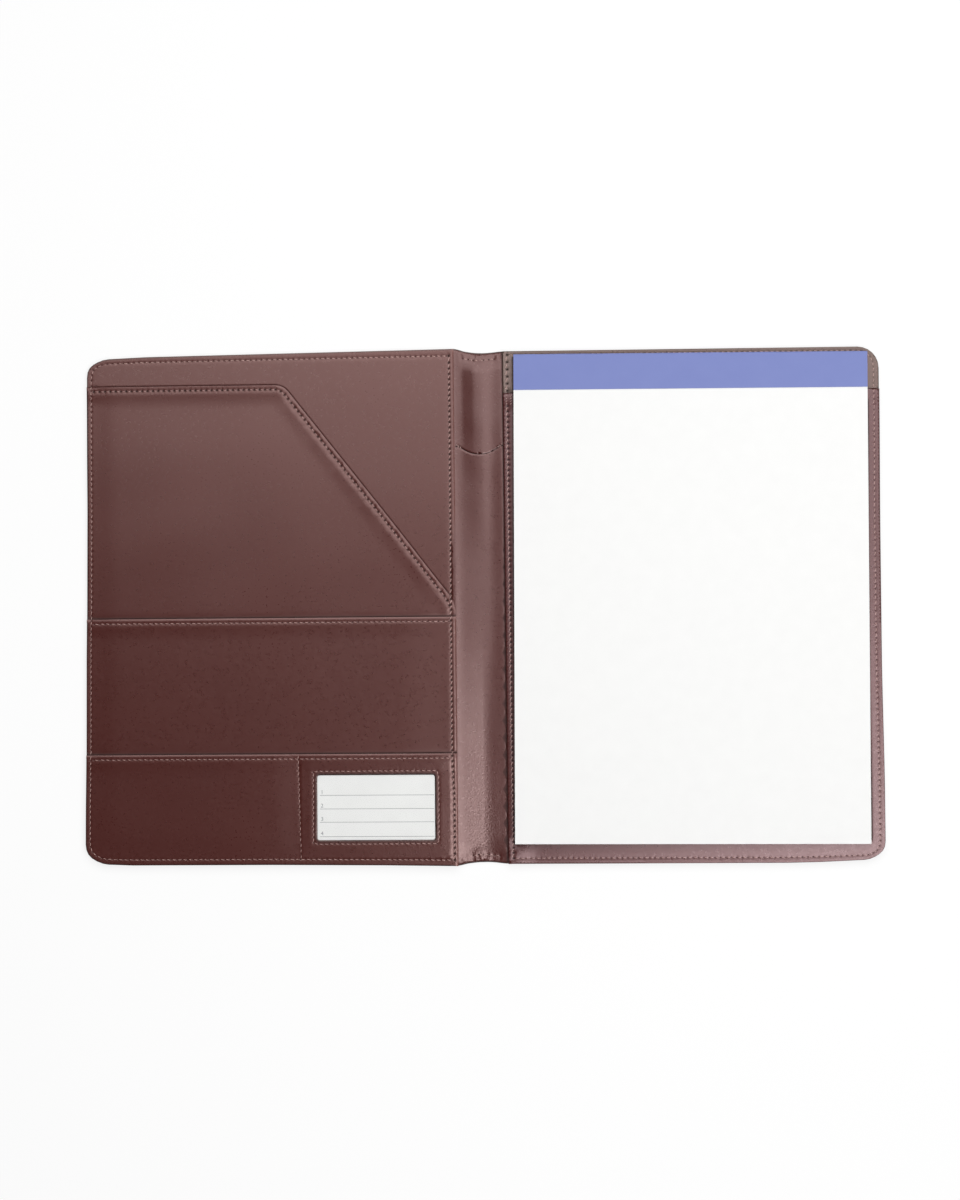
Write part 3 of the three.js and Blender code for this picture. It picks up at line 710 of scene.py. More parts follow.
def grained_leather(name, sheen, deep="#3f110c", pale="#45150f", dark_edge_colour="#1d1413", grain=1.3,
                    relief=0.3):
    """Pigment-finished leather, plated to a satin gloss: one even dark red, a warm sheen that lifts it where
    it faces the lamps, grain and faint creases in that sheen, and marks that darken or pale it at its edges,
    holes and creases. The real grain is too fine to show, so its cells are drawn more than a millimetre
    wide."""
    finish, tree, place = new_finish(name)
    rubbed_and_highlight, edge_ink_and_shade, hole_and_crease_shade, stretched = [
        add(tree, "ShaderNodeAttribute", attribute_name=mark).outputs["Fac"]
        for mark in ("rubbed_and_highlight", "edge_ink_and_shade", "hole_and_crease_shade", "open")
    ]
    tone = add(tree, "ShaderNodeTexNoise", {"Vector": place, "Scale": per_mm(55), "Detail": 3})
    fleck = add(tree, "ShaderNodeTexNoise", {"Vector": place, "Scale": per_mm(1.6), "Detail": 2})
    hide = add(tree, "ShaderNodeMix", {0: tone, 6: linear(deep), 7: linear(pale)}, data_type="RGBA")
    colour = add(
        tree, "ShaderNodeMix", {0: 0.08, 6: hide, 7: fleck}, data_type="RGBA", blend_type="SOFT_LIGHT"
    )
    # Marks over the hide: paler rolled edges, partly wear and partly painted highlight; dark edges, edge ink
    # on cut edges and painted shade at the slit's upper lip; near-black painted shade in needle holes and
    # creases
    for mark, shade in ((rubbed_and_highlight, "#6b3f37"), (edge_ink_and_shade, dark_edge_colour), (hole_and_crease_shade, "#120908")):
        colour = add(tree, "ShaderNodeMix", {0: mark, 6: colour, 7: linear(shade)}, data_type="RGBA")
    dull = add(tree, "ShaderNodeMapRange", {0: fleck, 1: 0.25, 2: 0.75, 3: 0.26, 4: 0.34})
    rough = add(tree, "ShaderNodeMix", {0: hole_and_crease_shade, 2: dull, 3: 0.95})
    drawn_out = add(tree, "ShaderNodeMapping", {"Vector": place, "Scale": (1, 0.22, 1)})
    crease = add(
        tree, "ShaderNodeTexNoise", {"Vector": drawn_out, "Scale": per_mm(4), "Detail": 4, "Roughness": 0.6}
    )
    pebbles = add(tree, "ShaderNodeTexVoronoi", {"Vector": place, "Scale": per_mm(grain)})
    surface = add(tree, "ShaderNodeMath", {0: crease, 1: 0.7, 2: pebbles}, operation="MULTIPLY_ADD")
    opening = add(tree, "ShaderNodeMath", {0: stretched, 1: 0.9, 2: 0.22}, operation="MULTIPLY_ADD")
    height = add(tree, "ShaderNodeMath", {0: surface, 1: opening}, operation="MULTIPLY")
    bump = add(tree, "ShaderNodeBump", {"Strength": relief, "Distance": 0.12 * MM, "Height": height})
    skin = add(
        tree, "ShaderNodeBsdfPrincipled",
        {"Base Color": colour, "Roughness": rough, "IOR": 1.5, "Specular IOR Level": 0.95,
         "Specular Tint": linear(sheen), "Normal": bump},
    )
    add(tree, "ShaderNodeOutputMaterial", {"Surface": skin})
    return finish


def bonded_thread(name, colour, crown_highlight):
    """Bonded polyester sewing thread: twisted fine strands with a slight gloss, in two colours mixed at
    random over the strands.
    """
    finish, tree, place = new_finish(name)
    strands = add(tree, "ShaderNodeTexNoise", {"Vector": place, "Scale": per_mm(0.35), "Detail": 2})
    # The paler second colour is painted highlight on the strands
    shade = add(tree, "ShaderNodeMix", {0: strands, 6: linear(colour), 7: linear(crown_highlight)}, data_type="RGBA")
    bump = add(tree, "ShaderNodeBump", {"Strength": 0.4, "Distance": 0.05 * MM, "Height": strands})
    yarn = add(
        tree, "ShaderNodeBsdfPrincipled",
        {"Base Color": shade, "Roughness": 0.5, "IOR": 1.53, "Normal": bump},
    )
    add(tree, "ShaderNodeOutputMaterial", {"Surface": yarn})
    return finish


def plain_paper(name, colour, shade, fibre, rough, relief):
    """Paper or board: matt, nearly even, with a faint cloud of fibres that shows as a slight tooth."""
    finish, tree, place = new_finish(name)
    cloud = add(tree, "ShaderNodeTexNoise", {"Vector": place, "Scale": per_mm(fibre), "Detail": 5})
    tint = add(tree, "ShaderNodeMix", {0: cloud, 6: linear(colour), 7: linear(shade)}, data_type="RGBA")
    bump = add(tree, "ShaderNodeBump", {"Strength": 0.3, "Distance": relief * MM, "Height": cloud})
    paper = add(
        tree, "ShaderNodeBsdfPrincipled",
        {"Base Color": tint, "Roughness": rough, "IOR": 1.5, "Normal": bump},
    )
    add(tree, "ShaderNodeOutputMaterial", {"Surface": paper})
    return finish


def clear_film(name):
    """Clear plasticised PVC film: what lies behind shows plainly, under a faint wavy gloss that grows on it
    where it is seen at a slant."""
    finish, tree, place = new_finish(name)
    ripple = add(tree, "ShaderNodeTexNoise", {"Vector": place, "Scale": per_mm(26), "Detail": 1})
    bump = add(tree, "ShaderNodeBump", {"Strength": 0.2, "Distance": 0.5 * MM, "Height": ripple})
    through = add(tree, "ShaderNodeBsdfTransparent", {"Color": linear("#ffffff")})
    gloss = add(tree, "ShaderNodeBsdfGlossy", {"Roughness": 0.08, "Normal": bump})
    slant = add(tree, "ShaderNodeLayerWeight", {"Normal": bump}).outputs["Facing"]
    share = add(tree, "ShaderNodeMapRange", {0: slant, 1: 0.3, 2: 1.0, 3: 0.02, 4: 0.6})
    film = add(tree, "ShaderNodeMixShader", {0: share, 1: through, 2: gloss})
    add(tree, "ShaderNodeOutputMaterial", {"Surface": film})
    return finish


def galvanised_wire(name):
    """Zinc-coated steel wire: pale grey metal, drawn along its length and slightly dulled."""
    finish, tree, place = new_finish(name)
    scuff = add(tree, "ShaderNodeTexNoise", {"Vector": place, "Scale": per_mm(1.2), "Detail": 3})
    dull = add(tree, "ShaderNodeMapRange", {0: scuff, 1: 0.3, 2: 0.7, 3: 0.28, 4: 0.45})
    wire = add(
        tree, "ShaderNodeBsdfPrincipled",
        {"Base Color": linear("#c3c6ca"), "Metallic": 1.0, "Roughness": dull},
    )
    add(tree, "ShaderNodeOutputMaterial", {"Surface": wire})
    return finish


def printing_ink(name):
    """Grey offset ink: thin, matt and a little uneven."""
    finish, tree, place = new_finish(name)
    cover = add(tree, "ShaderNodeTexNoise", {"Vector": place, "Scale": per_mm(0.8), "Detail": 2})
    tint = add(
        tree, "ShaderNodeMix", {0: cover, 6: linear("#77787b"), 7: linear("#a4a5a8")}, data_type="RGBA"
    )
    ink = add(tree, "ShaderNodeBsdfPrincipled", {"Base Color": tint, "Roughness": 0.6, "IOR": 1.5})
    add(tree, "ShaderNodeOutputMaterial", {"Surface": ink})
    return finish


def studio_paper(name):
    """Seamless white paper: rays that see it directly meet an evenly white sheet, and shadows stay on it."""
    finish, tree, place = new_finish(name)
    cloud = add(tree, "ShaderNodeTexNoise", {"Vector": place, "Scale": per_mm(90), "Detail": 2})
    tint = add(
        tree, "ShaderNodeMix", {0: cloud, 6: linear("#fbfbfb"), 7: linear("#fefefe")}, data_type="RGBA"
    )
    sheet = add(tree, "ShaderNodeBsdfDiffuse", {"Color": tint})
    white = add(tree, "ShaderNodeEmission", {"Color": linear("#ffffff"), "Strength": 1.0})
    ray = add(tree, "ShaderNodeLightPath").outputs
    seen = add(
        tree, "ShaderNodeMath", {0: ray["Is Camera Ray"], 1: ray["Is Glossy Ray"]}, operation="MAXIMUM"
    )
    seen = add(tree, "ShaderNodeMath", {0: seen, 1: ray["Is Transmission Ray"]}, operation="MAXIMUM")
    share = add(tree, "ShaderNodeMath", {0: seen, 1: 0.8}, operation="MULTIPLY")
    mixed = add(tree, "ShaderNodeMixShader", {0: share, 1: sheet, 2: white})
    add(tree, "ShaderNodeOutputMaterial", {"Surface": mixed})
    return finish


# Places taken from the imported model


def room(node):
    """A node's lowest and highest corner, in millimetres."""
    low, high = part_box(node)
    return np.array(low) / MM, np.array(high) / MM


def low_level(node):
    return room(node)[0][2]


def high_level(node):
    return room(node)[1][2]


cover_low, cover_high = room("back_cover_leather")
front_cover_low = room("front_cover_leather")[0]
back_lining_low, back_lining_high = room("back_lining")
front_lining_low, front_lining_high = room("front_lining")
document_low, document_high = room("document_pocket")
middle_high = room("middle_pocket")[1]
lower_high = room("lower_pocket")[1]
pad_pocket_high = room("pad_pocket")[1]
pad_low, pad_high = room("pad_sheets")
divider_low, divider_high = room("divider_thread")
thread_half = (divider_high[0] - divider_low[0]) / 2
TOP = cover_high[1]
BOTTOM = cover_low[1]


def seam_room(node):
    """Lowest and highest point of a seam's middle line."""
    low, high = room(node)
    return low[:2] + thread_half, high[:2] - thread_half


(back_seam_left, _), (back_seam_right, back_seam_top) = seam_room("back_edge_thread")
(front_seam_left, _), (front_seam_right, front_seam_top) = seam_room("front_edge_thread")
seam_bottom = seam_room("lower_pocket_thread")[0][1]
front_seam_top -= FRONT_TOP_SEAM_INSET
front_seam_left += FRONT_LEFT_SEAM_INSET
divider_x = seam_room("divider_thread")[0][0]
window_seam_low, window_seam_high = seam_room("window_thread")
seam_corner = CORNER_RADIUS - (cover_high[0] - back_seam_right)


# Paths of edges and seams


def panel(inner, outer, top, bottom, radius=CORNER_RADIUS):
    """Closed outline that is square at the gutter and rounded at its outer corners."""
    return rounded([(inner, bottom, 0), (outer, bottom, radius), (outer, top, radius), (inner, top, 0)])


def box_path(low, high, radius):
    corners = ((low[0], low[1]), (high[0], low[1]), (high[0], high[1]), (low[0], high[1]))
    return rounded([(x, y, radius) for x, y in corners])


front_side = front_lining_low[0]
strip_edge = back_lining_low[0] - STRIP_OVERHANG
middle_level = middle_high[1]
lower_level = lower_high[1]
pad_mouth_level = pad_pocket_high[1]
front_lining_edge = panel(front_lining_high[0], front_side, front_lining_high[1], front_lining_low[1])
back_lining_edge = panel(strip_edge, back_lining_high[0], back_lining_high[1], back_lining_low[1])
front_seam = panel(front_seam_right, front_seam_left, front_seam_top, seam_bottom, seam_corner)
back_seam = panel(back_seam_left, back_seam_right, back_seam_top, seam_bottom, seam_corner)

document_level = document_high[1] - DOCUMENT_MOUTH_DROP
document_corner = (document_low[0] + DOCUMENT_LEVEL_RUN, document_level, DOCUMENT_UPPER_FILLET)
document_foot = (document_high[0], middle_level + DOCUMENT_TO_MIDDLE, DOCUMENT_LOWER_FILLET)
document_mouth = rounded(
    [(front_side, document_level, 0), document_corner, document_foot,
     (document_high[0], middle_level - 20, 0)],
    closed=False, arc_steps=8,
)
# The mouth runs level up to the first points of its upper curve
level_mouth, sloping_mouth = document_mouth[:4], document_mouth[3:]
middle_mouth = np.array([(front_side, middle_level), (middle_high[0], middle_level)])
lower_mouth = np.array([(front_side, lower_level), (lower_high[0], lower_level)])
pad_mouth = np.array([(strip_edge, pad_mouth_level), (pad_pocket_high[0], pad_mouth_level)])


def pocket_edge(mouth, outer):
    """Closed outline of a pocket, from its mouth down round the outer bottom corner."""
    inner = mouth[-1][0] if abs(mouth[-1][0]) < abs(mouth[0][0]) else mouth[0][0]
    ordered = mouth if mouth[0][0] == outer else mouth[::-1]
    corner = rounded([(inner, BOTTOM, 0), (outer, BOTTOM, CORNER_RADIUS), (outer, 0, 0)], closed=False)
    return np.vstack((ordered, corner[:-1], ordered[:1]))


document_edge, middle_edge, lower_edge = [
    pocket_edge(mouth, front_side) for mouth in (document_mouth, middle_mouth, lower_mouth)
]
pad_pocket_edge = pocket_edge(pad_mouth, pad_pocket_high[0])
window_edge = box_path(window_seam_low + WINDOW_HEM, window_seam_high - WINDOW_HEM, 1.5)
window_seam = box_path(window_seam_low, window_seam_high, 0.8)


def hem_seam(mouth, low_x, high_x):
    """Line of the seam below a pocket's mouth, between the edge seams."""
    points, normals = spaced(mouth, BORDER_STEP)
    below = points - normals * HEM_SEAM_INSET
    return below[(below[:, 0] > low_x) & (below[:, 0] < high_x)]


document_seam = hem_seam(document_mouth, front_seam_left, front_seam_right - 0.4)
middle_seam = hem_seam(middle_mouth, front_seam_left, front_seam_right)
lower_seam = hem_seam(lower_mouth, front_seam_left, front_seam_right)
divider_seam = np.array([(divider_x - DIVIDER_LEAN, lower_level), (divider_x + DIVIDER_LEAN, seam_bottom)])
lower_pocket_seams = [lower_seam, divider_seam, window_seam]


def outer_sides(seam, inner_x):
    """The outer three sides of an edge seam, as one open path."""
    points = spaced(seam, 1)[0]
    return ring_run(points, np.abs(points[:, 0] - inner_x) > 0.6)


front_outer_seam = outer_sides(front_seam, front_seam_right)
back_outer_seam = outer_sides(back_seam, back_seam_left)
beside_card = front_seam_right + INNER_SEAM_LEAN
front_inner_seam = np.array([
    (beside_card, seam_bottom), (beside_card, lower_level - 28), (front_seam_right, lower_level + 6),
    (front_seam_right + 0.3, front_seam_top),
])
strip_seam_below = np.array([
    (back_seam_left + STRIP_SEAM_LEAN, seam_bottom), (back_seam_left, pad_mouth_level - 8)
])
strip_seam_above = np.array([(back_seam_left, pad_mouth_level + 1.5), (back_seam_left, back_seam_top)])
tack_rows = [
    np.array([(x, pad_mouth_level - 1), (x, pad_mouth_level - 7.5)])
    for x in back_seam_left + np.array(TACK_ROWS_ASIDE)
]


# Surfaces of the leather, as heights over the plan


def seam_dip(points, *paths):
    """How far stitched leather draws down along its seams."""
    return -SEAM_DEPTH * closeness(points, paths, SEAM_HALF_WIDTH)


def swell(points, loop, reach):
    """Share of its full height that leather reaches inside a loop of stitches, from 0 at the seam to 1."""
    return smooth((distance(points, loop) - SEAM_LIP) / reach) * inside(points, loop)


def hem(points, mouth):
    """Share of the second leather layer's thickness that a turned hem adds below a pocket's mouth."""
    return eased(distance(points, mouth), HEM_FLAT + HEM_FADE, HEM_FLAT)


def sloping_pull(points):
    """How far the sloping hem's stitches draw the slack leather down, unevenly from stitch to stitch."""
    past = np.maximum(distance(points, document_mouth) - HEM_SEAM_INSET, 0)
    sloping = eased(points[:, 0], document_corner[0] - 2, document_corner[0] + 4)
    uneven = 1 + 0.28 * waves(points, 4, 1, 31)
    return HEM_PULL * np.exp(-((past / HEM_PULL_REACH) ** 2)) * sloping * uneven


def over(loop):
    """A seam loop stretched far above its pocket's mouth, which isn't sewn."""
    stretched = loop.copy()
    stretched[loop[:, 1] > loop[:, 1].mean(), 1] += UNSEWN_REACH
    return stretched


floor_levels = [high_level("front_lining") + 0.05 + layer * LAYER for layer in range(3)]
front_loop = over(front_seam)
back_loop = over(back_seam)
card_loop = panel(divider_x, front_seam_right, UNSEWN_REACH, seam_bottom, 0)
plain_loop = rounded([
    (front_seam_left, seam_bottom, seam_corner), (divider_x, seam_bottom, 0), (divider_x, UNSEWN_REACH, 0),
    (front_seam_left, UNSEWN_REACH, 0),
])


def front_lining_top(points):
    return high_level("front_lining") + seam_dip(points, front_seam) + waves(points, 90, 0.05, 1)


def back_lining_top(points):
    x, y = points.T
    rise = BARE_STRIP_RISE * np.clip((21 - x) / 6, 0, 1) * eased(y, pad_mouth_level, pad_mouth_level + 4)
    return high_level("back_lining") + rise + seam_dip(points, back_seam) + waves(points, 90, 0.02, 2)


def lining_under(points):
    return np.full(len(points), low_level("back_lining") + 0.03)


def slack_pocket(points, floor, free, reach, mouth, seam):
    """Face of a slack pocket: drawn down at its seams, free between them, and thicker at its hem."""
    sewn = floor + POCKET_LEATHER
    height = sewn + (free - sewn) * swell(points, front_loop, reach)
    return height + HEM_THICKNESS * hem(points, mouth) + seam_dip(points, front_seam, seam)


def fall_below(points, level):
    """Share of the fall of slack leather below the level of the next pocket's mouth."""
    start = level + FREE_FALL_START
    return eased(points[:, 1], start, start - FREE_FALL_RUN)


def document_top(points):
    free = DOCUMENT_FREE_LEVEL - DOCUMENT_FREE_FALL * fall_below(points, middle_level)
    height = slack_pocket(points, floor_levels[0], free, SOFT_SWELL, document_mouth, document_seam)
    return height - sloping_pull(points) + waves(points, 70, 0.06, 3)


def middle_top(points):
    free = MIDDLE_FREE_LEVEL - MIDDLE_FREE_FALL * fall_below(points, lower_level)
    reach = SOFT_SWELL + (SLOW_SWELL - SOFT_SWELL) * eased(points[:, 0], *SLOW_SWELL_RUN)
    height = slack_pocket(points, floor_levels[1], free, reach, middle_mouth, middle_seam)
    return height + waves(points, 70, 0.04, 4)


def lower_top(points):
    """Lower pocket: slack on its plain side, and firm over the card and the film on the other."""
    towards_card = eased(points[:, 0], front_seam_left + 25, divider_x - 5)
    sewn = floor_levels[2] + POCKET_LEATHER + LAYER * towards_card
    to_seam = distance(points, card_loop)
    filled = CARD_EDGE_RISE * smooth(to_seam / CARD_EDGE_REACH)
    filled += FILM_RISE * smooth((to_seam - CARD_EDGE_REACH) / FILM_REACH)
    slack = LOWER_SLACK * swell(points, plain_loop, SOFT_SWELL)
    height = sewn + np.where(inside(points, card_loop), filled, slack)
    height += HEM_THICKNESS * hem(points, lower_mouth)
    height += seam_dip(points, front_seam, *lower_pocket_seams)
    return height + waves(points, 60, 0.05, 5)


def pad_pocket_top(points):
    """Pad pocket: nearly level over the card back, and falling to the gutter in the strip beside the pad."""
    x, y = points.T
    free = PAD_CARD_OVER - PAD_BORDER_LEVEL
    height = PAD_BORDER_LEVEL + free * swell(points, back_loop, PAD_SWELL)
    fall = STRIP_FALL + STRIP_FALL_BELOW * eased(y, *STRIP_FALL_RUN)
    fall *= eased(y, STRIP_FALL_END, STRIP_FALL_END + 4)
    height -= fall * eased(x, GUTTER + STRIP_WIDTH, GUTTER)
    height += CORNER_LIFT * eased(x, *CORNER_LIFT_ACROSS) * eased(y, *CORNER_LIFT_DOWN)
    height += HEM_THICKNESS * hem(points, pad_mouth) + seam_dip(points, back_seam)
    return height + waves(points, 70, 0.02, 6)


def pocket_under(top, floor, loops, mouth):
    """Underside of a pocket: on the layer below along its seams, and one thickness down elsewhere."""
    def under(points):
        free = np.max([swell(points, loop, CARD_EDGE_REACH) for loop in loops], axis=0)
        thin = top(points) - POCKET_LEATHER - HEM_THICKNESS * hem(points, mouth)
        return floor + (thin - floor) * free
    return under


front_layers = [
    (front_lining_edge, front_lining_top), (document_edge, document_top), (middle_edge, middle_top),
    (lower_edge, lower_top),
]
back_layers = [(back_lining_edge, back_lining_top), (pad_pocket_edge, pad_pocket_top)]


def surface_of(layers):
    """Height of the uppermost leather over the plan."""
    def surface(points):
        height = layers[0][1](points)
        for outline, top in layers[1:]:
            held = inside(points, outline)
            height[held] = top(points[held])
        return height
    return surface


def uppermost(holes, layers, index):
    """The needle holes where one layer is the uppermost leather."""
    plan = holes[:, :2]
    held = inside(plan, layers[index][0])
    for outline, _ in layers[index + 1:]:
        held &= ~inside(plan, outline)
    return holes[held]


front_surface = surface_of(front_layers)
back_surface = surface_of(back_layers)


# Finishes

cover_leather = grained_leather(
    "Corrected-grain cowhide, pigmented", "#ffdad5", "#41120d", "#481711", "#393a36", grain=1.5
)
pocket_leather = grained_leather("Bonded leather, pigmented", "#ffdad5")
pad_side_leather = grained_leather("Bonded leather, smoothed by the pad", "#ffe1e4")
# The back lining's grey-tan base colour stands in for a paler, greyer sheen: painted sheen
strip_leather = grained_leather(
    "Bonded leather, grey-tan standing in for sheen", "#ffe2e0", "#45362b", "#4d4034", relief=0.4
)
gutter_leather = grained_leather("Bonded leather, soft and open-grained", "#ffdedb", grain=1.1, relief=0.5)
# Both thread colours are far paler than the thread's own red, which matches the leather: partly a slightly
# paler thread and partly painted highlight
thread_finish = bonded_thread("Bonded polyester thread", "#9c7169", "#d6b7b0")
writing_paper = plain_paper("Woodfree writing paper", "#f0f0ef", "#f4f4f3", 9, 0.85, 0.03)
card_stock = plain_paper("Coated card stock", "#e6e6e5", "#edeeec", 14, 0.6, 0.02)
band_paper = plain_paper("Dyed binding paper", "#717dba", "#7783be", 12, 0.6, 0.03)
greyboard = plain_paper("Grey chipboard", "#a3937b", "#b8a98f", 1.6, 0.9, 0.08)
film_finish = clear_film("Clear PVC film")
wire_finish = galvanised_wire("Galvanised steel wire")
ink_finish = printing_ink("Grey offset ink")


# Linings and pockets


def inner_and_outer(outline, inner_x, mouth=None):
    """Edges of a panel's leather: rolled or folded at the gutter, and cut where it has no mouth."""
    border = spaced(outline, BORDER_STEP)[0]
    clear = np.abs(border[:, 0] - inner_x) > 0.5
    inner = np.array([(inner_x, outline[:, 1].min()), (inner_x, outline[:, 1].max())])
    if mouth is not None:
        clear &= distance(border, mouth) > 0.5
        inner[1, 1] = mouth[np.argmin(np.abs(mouth[:, 0] - inner_x)), 1]
    cut = ring_run(border, clear)
    if inner_x < 0:
        return [(inner, ROLLED_EDGE_RADIUS, "rolled"), (cut, CUT_EDGE_RADIUS, "edge_ink_and_shade")]
    return [(inner, STRIP_EDGE_RADIUS, "plain"), (cut, CUT_EDGE_RADIUS, "plain")]


def leather_piece(name, node, layers, index, under, holes, seams, mouth=None, folds=(), openings=(),
                  creases=(), finish=None):
    """Piece of leather in one of the two panels' stacks of layers."""
    outline, top = layers[index]
    body = "front_cover" if layers is front_layers else "back_cover"
    inner_x = front_lining_high[0] if layers is front_layers else strip_edge
    edges = inner_and_outer(outline, inner_x, mouth)
    edges += [*folds, *[(path, WINDOW_EDGE_RADIUS, "edge_ink_and_shade") for path in openings]]
    seen = uppermost(np.vstack(holes), layers, index)
    points, faces, marks = leather(outline, top, under, edges, openings, seams, seen, creases)
    return piece(name, points, faces, finish or pocket_leather, body, (node,), marks)


# Prints that the pad's two long sides have pressed into the leather beside them, each painted dark as the
# pad's painted shadow
right_print = np.array([(pad_high[0] + 0.4, 124), (pad_high[0] - 0.2, 0), (pad_high[0] - 0.9, BOTTOM + 14)])
left_print = np.array([(pad_low[0] + 0.7, TOP - 4), (pad_low[0] - 1.9, BOTTOM + 12)])

front_holes = [
    needle_holes(front_outer_seam, STITCH_PITCH, FINE_HOLE),
    needle_holes(front_inner_seam, STITCH_PITCH, ROUND_HOLE),
]
back_holes = [
    needle_holes(back_outer_seam, STITCH_PITCH, BORDER_HOLE),
    needle_holes(strip_seam_above, LONG_STITCH_PITCH, ROUND_HOLE * 1.1),
    needle_holes(strip_seam_below, STITCH_PITCH, ROUND_HOLE),
]

leather_piece(
    "front_panel_lining", "front_lining", front_layers, 0, lining_under,
    front_holes, [front_seam], creases=[(document_mouth, *THIN_CREASE)],
)
leather_piece(
    "document_pocket_leather", "document_pocket", front_layers, 1,
    pocket_under(document_top, floor_levels[0], [front_loop], document_mouth),
    [*front_holes, needle_holes(document_seam, STITCH_PITCH, ROUND_HOLE)],
    [front_seam, document_seam], document_mouth,
    [(level_mouth, LEVEL_EDGE_RADIUS, "plain"), (sloping_mouth, CREASED_EDGE_RADIUS, "creased")],
    creases=[(middle_mouth, *DARK_CREASE)],
)
leather_piece(
    "middle_pocket_leather", "middle_pocket", front_layers, 2,
    pocket_under(middle_top, floor_levels[1], [front_loop], middle_mouth),
    [*front_holes, needle_holes(middle_seam, STITCH_PITCH, FINE_HOLE)],
    [front_seam, middle_seam], middle_mouth, [(middle_mouth, CREASED_EDGE_RADIUS, "creased")],
    creases=[(lower_mouth, *DARK_CREASE)],
)
leather_piece(
    "lower_pocket_leather", "lower_pocket", front_layers, 3,
    pocket_under(lower_top, floor_levels[2], [card_loop, plain_loop], lower_mouth),
    [*front_holes, *[needle_holes(path, STITCH_PITCH, FINE_HOLE) for path in lower_pocket_seams]],
    [front_seam, *lower_pocket_seams], lower_mouth,
    [(lower_mouth, CREASED_EDGE_RADIUS, "creased")], [window_edge],
)
leather_piece(
    "back_panel_lining", "back_lining", back_layers, 0, lining_under, back_holes, [back_seam],
    creases=[(pad_mouth, *THIN_CREASE), (left_print, *PAD_PRINT)], finish=strip_leather,
)
leather_piece(
    "pad_pocket_leather", "pad_pocket", back_layers, 1,
    pocket_under(pad_pocket_top, high_level("back_lining") + 0.05, [back_loop], pad_mouth),
    back_holes, [back_seam], pad_mouth, [(pad_mouth, FOLDED_EDGE_RADIUS, "plain")],
    creases=[(right_print, *PAD_PRINT), (left_print, *PAD_PRINT)], finish=pad_side_leather,
)


# Gutter lining


def spine_end(x, inset=0):
    """Half length of the spine at a distance from its middle: its ends are slightly hollow."""
    hollow = SPINE_END_HOLLOW * (1 + np.cos(math.pi * np.clip(np.abs(x) / GUTTER, 0, 1))) / 2
    return TOP - inset - hollow


def slit_y(x):
    """Smile-shaped line of the pen slit."""
    return SLIT_LOWEST + SLIT_SAG * (x / SLIT_HALF_WIDTH) ** 2


def half_slit(side):
    """Edge of half of the pen slit, from its upper lip at the middle round the eyelet to its lower lip."""
    xs = np.linspace(0, SLIT_HALF_WIDTH - EYELET_RADIUS, 8)
    upper = np.column_stack((xs, slit_y(xs) + SLIT_GAP))
    lower = np.column_stack((xs, slit_y(xs) - SLIT_GAP))
    middle = np.array((SLIT_HALF_WIDTH, slit_y(SLIT_HALF_WIDTH)))
    angles = np.radians(np.linspace(160, -120, 9))
    eyelet = middle + EYELET_RADIUS * np.column_stack((np.cos(angles), np.sin(angles)))
    return np.vstack((upper, eyelet, lower[::-1])) * (side, 1)


def profile_height(x, profile):
    """Height across the gutter: straight runs between the stations of a profile, with eased corners."""
    stations, levels = np.array(profile).T
    return np.mean([np.interp(x + aside, stations, levels) for aside in (-0.4, -0.2, 0, 0.2, 0.4)], axis=0)


def gutter_top(points):
    """Soft lining: it comes from under both panels, ridged at the top, sunk at the bottom and pleated at its
    ends."""
    x, y = points.T
    across = np.clip(np.abs(x) / GUTTER, 0, 1)
    from_end = spine_end(x) - np.abs(y)
    upper = eased(y, 12, 120)
    lower = eased(y, 8, -87)
    height = profile_height(x, GUTTER_MIDDLE_PROFILE) * (1 - upper - lower)
    height += profile_height(x, GUTTER_TOP_PROFILE) * upper
    height += profile_height(x, GUTTER_BOTTOM_PROFILE) * lower
    end_height = GUTTER_END_LEVEL + 1.2 * across ** 4
    height += (end_height - height) * np.clip(1 - from_end / GUTTER_END_RUN, 0, 1) ** 1.15
    pleats = sum(share * np.cos(2 * math.pi * (x - start) / width) for start, width, share in PLEATS)
    fade = np.exp(-((np.maximum(from_end - 3, 0) / PLEAT_REACH) ** 2))
    height += PLEAT_HEIGHT * pleats * fade * (1 - across ** 4) * (1 + waves(points, 7, 0.5, 13))
    for bump_x, bump_y, rise, radius in GUTTER_BUMPS:
        height += rise * np.exp(-((x - bump_x) ** 2 + (y - bump_y) ** 2) / radius ** 2)
    height -= FOLD_MARK_DEPTH * closeness(points, [np.array(FOLD_MARK)], 0.45)
    height += waves(points, 26, 0.03, 8) * (1 - across ** 3)
    return height + seam_dip(points, *spine_seams)


def gutter_under(points):
    tucked = eased(np.abs(points[:, 0]), HINGE, HINGE + 1.2)
    return gutter_top(points) - POCKET_LEATHER + (POCKET_LEATHER - TUCKED_THICKNESS) * tucked


def match_across_middle(made, points, top):
    """Shade the two halves of one surface alike along the spine's middle, where they meet."""
    normals = []
    step = 0.2
    for x, y, z in points:
        at_lip = abs(y - slit_y(0)) < LOWER_LIP_RADIUS + 0.3
        if abs(x) > 1e-3 or at_lip or abs(y) > spine_end(0) - 1:
            normals.append((0, 0, 0))
            continue
        spots = np.array([(step, y), (-step, y), (0, y + step), (0, y - step), (0, y)])
        east, west, north, south, here = top(spots)
        facing = 1 if abs(z - here) < 0.2 else -1
        normal = Vector(((west - east) / (2 * step), (south - north) / (2 * step), 1)) * facing
        normals.append(normal.normalized())
    made.data.normals_split_custom_set_from_vertices(normals)


